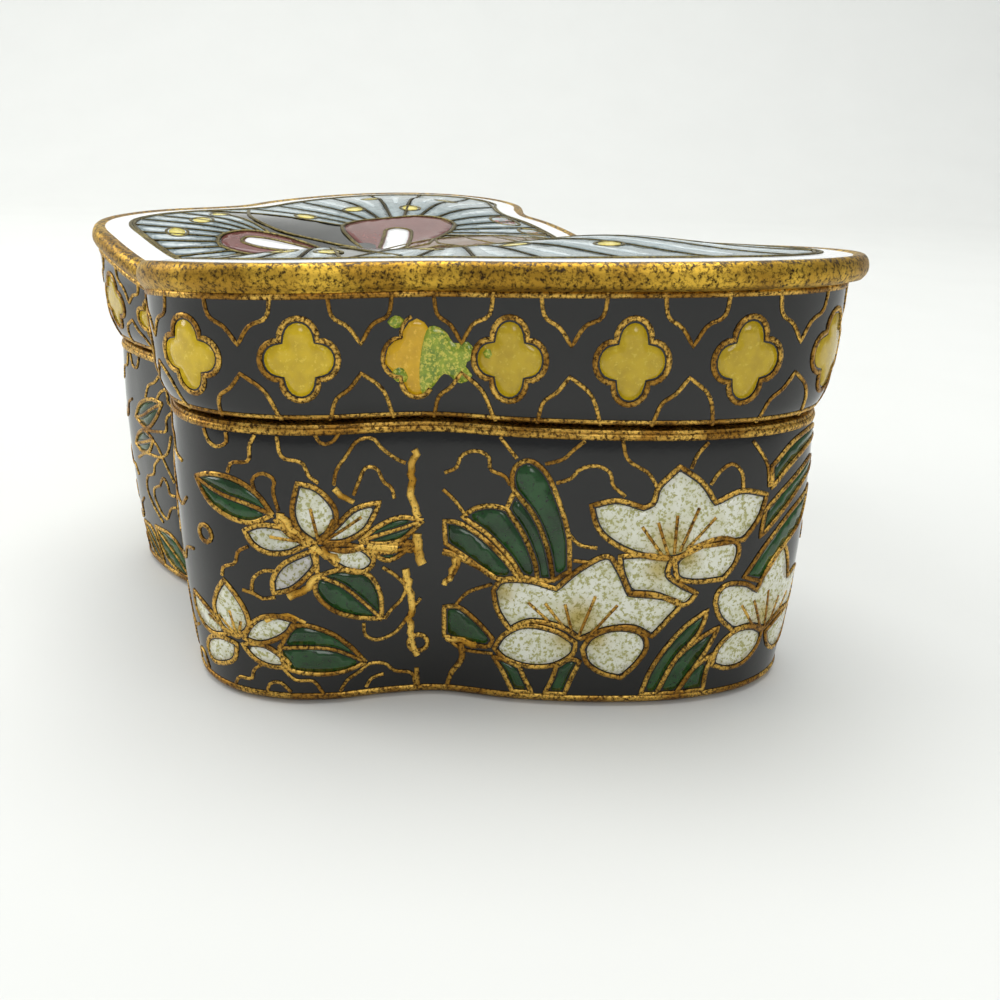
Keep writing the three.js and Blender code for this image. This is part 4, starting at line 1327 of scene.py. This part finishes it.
    def _fan(self, picture: Picture, edge: np.ndarray, mirror: np.ndarray, centre: Point, inner: np.ndarray,
             start: float, end: float, count: int) -> None:
        """Long cells between rays from a centre, from an inner outline out to the border, each with a streak."""
        angles = np.linspace(start, end, count + 1)
        near = [self._hit(inner, centre, angle, False) for angle in angles]
        far = [self._hit(edge, centre, angle, True) for angle in angles]
        for i in range(count):
            middle = (angles[i] + angles[i + 1]) / 2
            inside = self._hit(inner, centre, middle, False)
            outside = self._hit(edge, centre, middle, True)
            ring = np.vstack([respaced(np.array(part), POINT_STEP, False)[:-1] for part in (
                [near[i], far[i]], [far[i], outside, far[i + 1]], [far[i + 1], near[i + 1]],
                [near[i + 1], inside, near[i]])])
            picture.cell(ring * mirror, Colour.WING, wire=THIN_WIRE)
            along = np.array(outside) - np.array(inside)
            length = np.linalg.norm(along)
            if length < 4:
                continue
            side = np.array([-along[1], along[0]]) / length
            share = np.array([0.30, 0.5, 0.75, 0.92])
            width = np.array([0.10, 0.34, 0.5, 0.16])
            spine = np.array(inside) + share[:, None] * along
            streak = np.vstack([spine + side * width[:, None], (spine - side * width[:, None])[::-1]])
            picture.pad(Colour.STREAK).add(smooth(streak, True) * mirror, 0.0, CELL_LIFT * 1.5)

    @staticmethod
    def _hit(outline: np.ndarray, centre: Point, angle: float, outermost: bool) -> tuple[float, float]:
        """Where a ray from a centre meets an outline."""
        direction = np.array([math.cos(math.radians(angle)), math.sin(math.radians(angle))])
        side = np.array([-direction[1], direction[0]])
        offset = outline - np.array(centre)
        across, along = offset @ side, offset @ direction
        following = np.roll(across, -1)
        hits = np.where((across * following <= 0) & (np.abs(across - following) > 1e-9))[0]
        places = []
        for k in hits:
            share = across[k] / (across[k] - following[k])
            reach = along[k] * (1 - share) + np.roll(along, -1)[k] * share
            if reach > 0:
                places.append(reach)
        reach = (max(places) if outermost else min(places)) if places else 6.0
        return tuple(np.array(centre) + direction * reach)


# ---- shells ------------------------------------------------------------------------------------------------

@dataclass
class BaseBody:
    """The copper tray: black enamel outside, turquoise counter-enamel inside and below, gilt lip."""

    wall_rings: int = 9

    def build(self) -> None:
        """Stack the rings and make the piece."""
        form = FORM
        offset = lambda z: float(form.base_offset(z))
        shell = Shell()
        shell.add(form.ring(offset(0) - form.underside_inset, 0.0), Colour.INSIDE)
        shell.add(form.ring(offset(0) - 0.75, 0.08), Colour.INSIDE)
        for angle in (20, 45, 70):
            turn = math.radians(angle)
            radius = 1.1
            shell.add(form.ring(offset(radius) - radius * (1 - math.sin(turn)) * 0.72, radius * (1 - math.cos(turn))),
                      Colour.WIRE_GILT)
        for z in np.linspace(form.foot_rounding, 21.1, self.wall_rings):
            shell.add(form.ring(offset(z) if z < 21 else 0.0, z), Colour.BLACK)
        for reach, z in ((-0.08, 21.32), (-0.3, 21.4)):
            shell.add(form.ring(reach, z), Colour.WIRE_GILT)
        for reach, z in ((-form.lip_step + 0.06, 21.4), (-form.lip_step, 21.46), (-form.lip_step, 22.9),
                         (-1.12, 23.04), (-1.25, 23.1), (-1.6, 23.1), (-form.wall, 23.0)):
            shell.add(form.ring(reach, z), Colour.WIRE_GILT)
        shell.add(form.ring(-form.wall, 22.4), Colour.WIRE_GILT)
        for reach, z in ((-form.wall, 16.0), (-form.wall, 10.7), (offset(3.2) - form.wall, 3.2),
                         (offset(2.4) - 2.05, 2.1), (offset(1.6) - 2.8, 1.6)):
            shell.add(form.ring(reach, z), Colour.INSIDE)
        piece = shell.piece("base_body", np.array([*form.centre, 0.0]), np.array([*form.centre, form.floor]))
        piece.data.set_sharp_from_angle(angle=math.radians(50))
        enlist(piece, "base_enamel", "base")


@dataclass
class LidBody:
    """The copper lid: black wall, rolled rim, white border, dark ground under the wings, turquoise inside."""

    shares: tuple[float, ...] = (0.93, 0.85, 0.75, 0.62, 0.48, 0.33, 0.18)

    def build(self) -> None:
        """Stack the rings from the ceiling round the edge to the top, and make the piece."""
        form = FORM
        shell = Shell()
        edge = form.ring(form.plate_reach, form.rim_height)
        for share in self.shares[::-1]:
            shell.add(form.drawn_in(edge, share, form.top_plate), Colour.INSIDE)
        inner = lambda share: max(float(form.lid_offset(share)) - form.lid_wall, -form.lid_edge)
        for share in (0.86, 0.62, 0.4, 0.2):
            shell.add(form.ring(inner(share), form.wall_height(share)), Colour.INSIDE)
        shell.add(form.ring(-form.lid_edge, form.lid_bottom + 0.5), Colour.INSIDE)
        shell.add(form.ring(-form.lid_edge, form.lid_bottom + 0.06), Colour.WIRE_GILT)
        for reach, z in ((-form.lid_edge + 0.06, 0.0), (-0.1, 0.0), (0.0, 0.05)):
            shell.add(form.ring(reach, form.lid_bottom + z), Colour.WIRE_GILT)
        for share in (0.04, 0.08, 0.13, 0.2, 0.28, 0.4, 0.55, 0.7, 0.85, 1.0):
            shell.add(form.ring(float(form.lid_offset(share)), form.wall_height(share)), Colour.BLACK)
        self._rim(shell)
        border = form.ring(lambda x: form.plate_reach(x) - form.border_width, form.rim_height)
        for share in (0.33, 0.66, 1.0):
            ring = edge * (1 - share) + border * share
            ring[:, 2] = form.top_height(ring[:, 0], ring[:, 1])
            shell.add(ring, Colour.WHITE)
        for share in self.shares:
            shell.add(form.drawn_in(border, share), Colour.BLACK)
        middle = np.array([form.centre[0]]), np.array([form.centre[1]])
        height = float(form.top_height(*middle)[0])
        piece = shell.piece("lid_body", np.array([*form.centre, height - form.top_plate]),
                            np.array([*form.centre, height]))
        piece.data.set_sharp_from_angle(angle=math.radians(50))
        enlist(piece, "lid_enamel", "lid")

    @staticmethod
    def _rim(shell: Shell) -> None:
        """The rolled rim, as rings from its underside over its crest to the plate."""
        form = FORM
        profile = ((0.35, -1.66, 0.0), (0.14, -1.40, 0.05), (0.03, -1.15, 0.1), (0.0, -0.92, 0.15), (0.03, -0.66, 0.25),
                   (0.10, -0.42, 0.35), (0.22, -0.2, 0.45), (0.38, -0.06, 0.5), (0.56, 0.0, 0.5), (0.78, -0.02, 0.5),
                   (0.98, -0.08, 0.5), (1.15, -0.1, 0.4))
        for inset, drop, crest in profile:
            shell.add(form.ring(lambda x, inset=inset: form.reach(x) - inset,
                                lambda x, y, drop=drop: form.rim_height(x, y) + drop), None, crest)


# ---- studio ------------------------------------------------------------------------------------------------

@dataclass
class Studio:
    """Pale card swept up behind the box, large soft lights and the camera."""

    eye: tuple[float, float, float] = (82.89, -33.83, 39.6)
    azimuth: float = 62.17
    pitch: float = 20.09
    roll: float = 1.45

    def build(self) -> None:
        """Set up the floor, the lights, the surroundings and the camera."""
        self._floor()
        self._lights()
        self._camera()

    def _axes(self) -> tuple[Vector, Vector, Vector]:
        """The view's right, up and forward directions."""
        az, pitch, roll = (math.radians(value) for value in (self.azimuth, self.pitch, self.roll))
        flat = Vector((-math.sin(az), math.cos(az), 0.0))
        right = Vector((math.cos(az), math.sin(az), 0.0))
        forward = flat * math.cos(pitch) - Vector((0, 0, math.sin(pitch)))
        up = flat * math.sin(pitch) + Vector((0, 0, math.cos(pitch)))
        return (right * math.cos(roll) + up * math.sin(roll), up * math.cos(roll) - right * math.sin(roll), forward)

    def _floor(self) -> None:
        """A sheet of card that turns up far behind the box."""
        az = math.radians(self.azimuth)
        flat = np.array([-math.sin(az), math.cos(az), 0.0])
        side = np.array([math.cos(az), math.sin(az), 0.0])
        profile = [(-900.0, 0.0), (0.0, 0.0), (420.0, 0.0)]
        profile += [(420 + 260 * math.sin(a), 260 * (1 - math.cos(a))) for a in np.radians(np.arange(6, 91, 6))]
        profile += [(680.0, 1100.0)]
        vertices, faces = [], []
        for far, height in profile:
            for across in (-1100.0, 1100.0):
                vertices.append(flat * far + side * across + np.array([0, 0, height]))
        for i in range(len(profile) - 1):
            faces.append((2 * i, 2 * i + 1, 2 * i + 3, 2 * i + 2))
        floor = new_piece("studio_card", np.array(vertices), faces, [Paper().build()])

    def _lights(self) -> None:
        """A broad light above and to the left, a weaker one on the right and an even surround."""
        right, _, forward = self._axes()
        flat = Vector((forward.x, forward.y, 0.0)).normalized()
        lights = (("above", 9.0, 0.9, flat * 0.10 + Vector((0, 0, 0.95))),
                  ("left", 3.0, 0.5, -right * 0.7 + flat * 0.1 + Vector((0, 0, 0.45))),
                  ("front", 2.2, 0.5, right * 0.25 - flat * 0.8 + Vector((0, 0, 0.6))))
        for name, power, size, place in lights:
            data = bpy.data.lights.new(f"soft_{name}", "AREA")
            data.energy = power
            data.shape = "DISK"
            data.size = size
            light = bpy.data.objects.new(f"soft_{name}", data)
            light.location = place
            light.rotation_euler = (Vector((0, 0, 0.015)) - place).to_track_quat("-Z", "Y").to_euler()
            bpy.context.scene.collection.objects.link(light)
        world = bpy.data.worlds.new("even_surround")
        world.use_nodes = True
        background = world.node_tree.nodes["Background"]
        background.inputs["Color"].default_value = linear("#e9edf2")
        background.inputs["Strength"].default_value = 0.45
        bpy.context.scene.world = world

    def _camera(self) -> None:
        """The camera, at a hand's breadth, looking down a little on the near wing."""
        right, up, forward = self._axes()
        data = bpy.data.cameras.new("view")
        data.sensor_width = 36.0
        data.lens = 36.0
        data.clip_start = 0.005
        data.clip_end = 20.0
        camera = bpy.data.objects.new("view", data)
        turn = Matrix((right, up, -forward)).transposed().to_4x4()
        camera.matrix_world = Matrix.Translation(Vector(self.eye) * MM) @ turn
        bpy.context.scene.collection.objects.link(camera)
        bpy.context.scene.camera = camera
        bpy.context.scene.view_settings.view_transform = "Standard"


def main() -> None:
    """Build the shells, the pictures and the studio, in that order."""
    logging.basicConfig(level=logging.INFO, format="%(name)s: %(message)s")
    for part in (BaseBody(), LidBody(), SideWall(), LidSide(), WingTop(), Studio()):
        part.build()
        LOG.info("%s done", type(part).__name__)


if __name__ == "__main__":
    main()
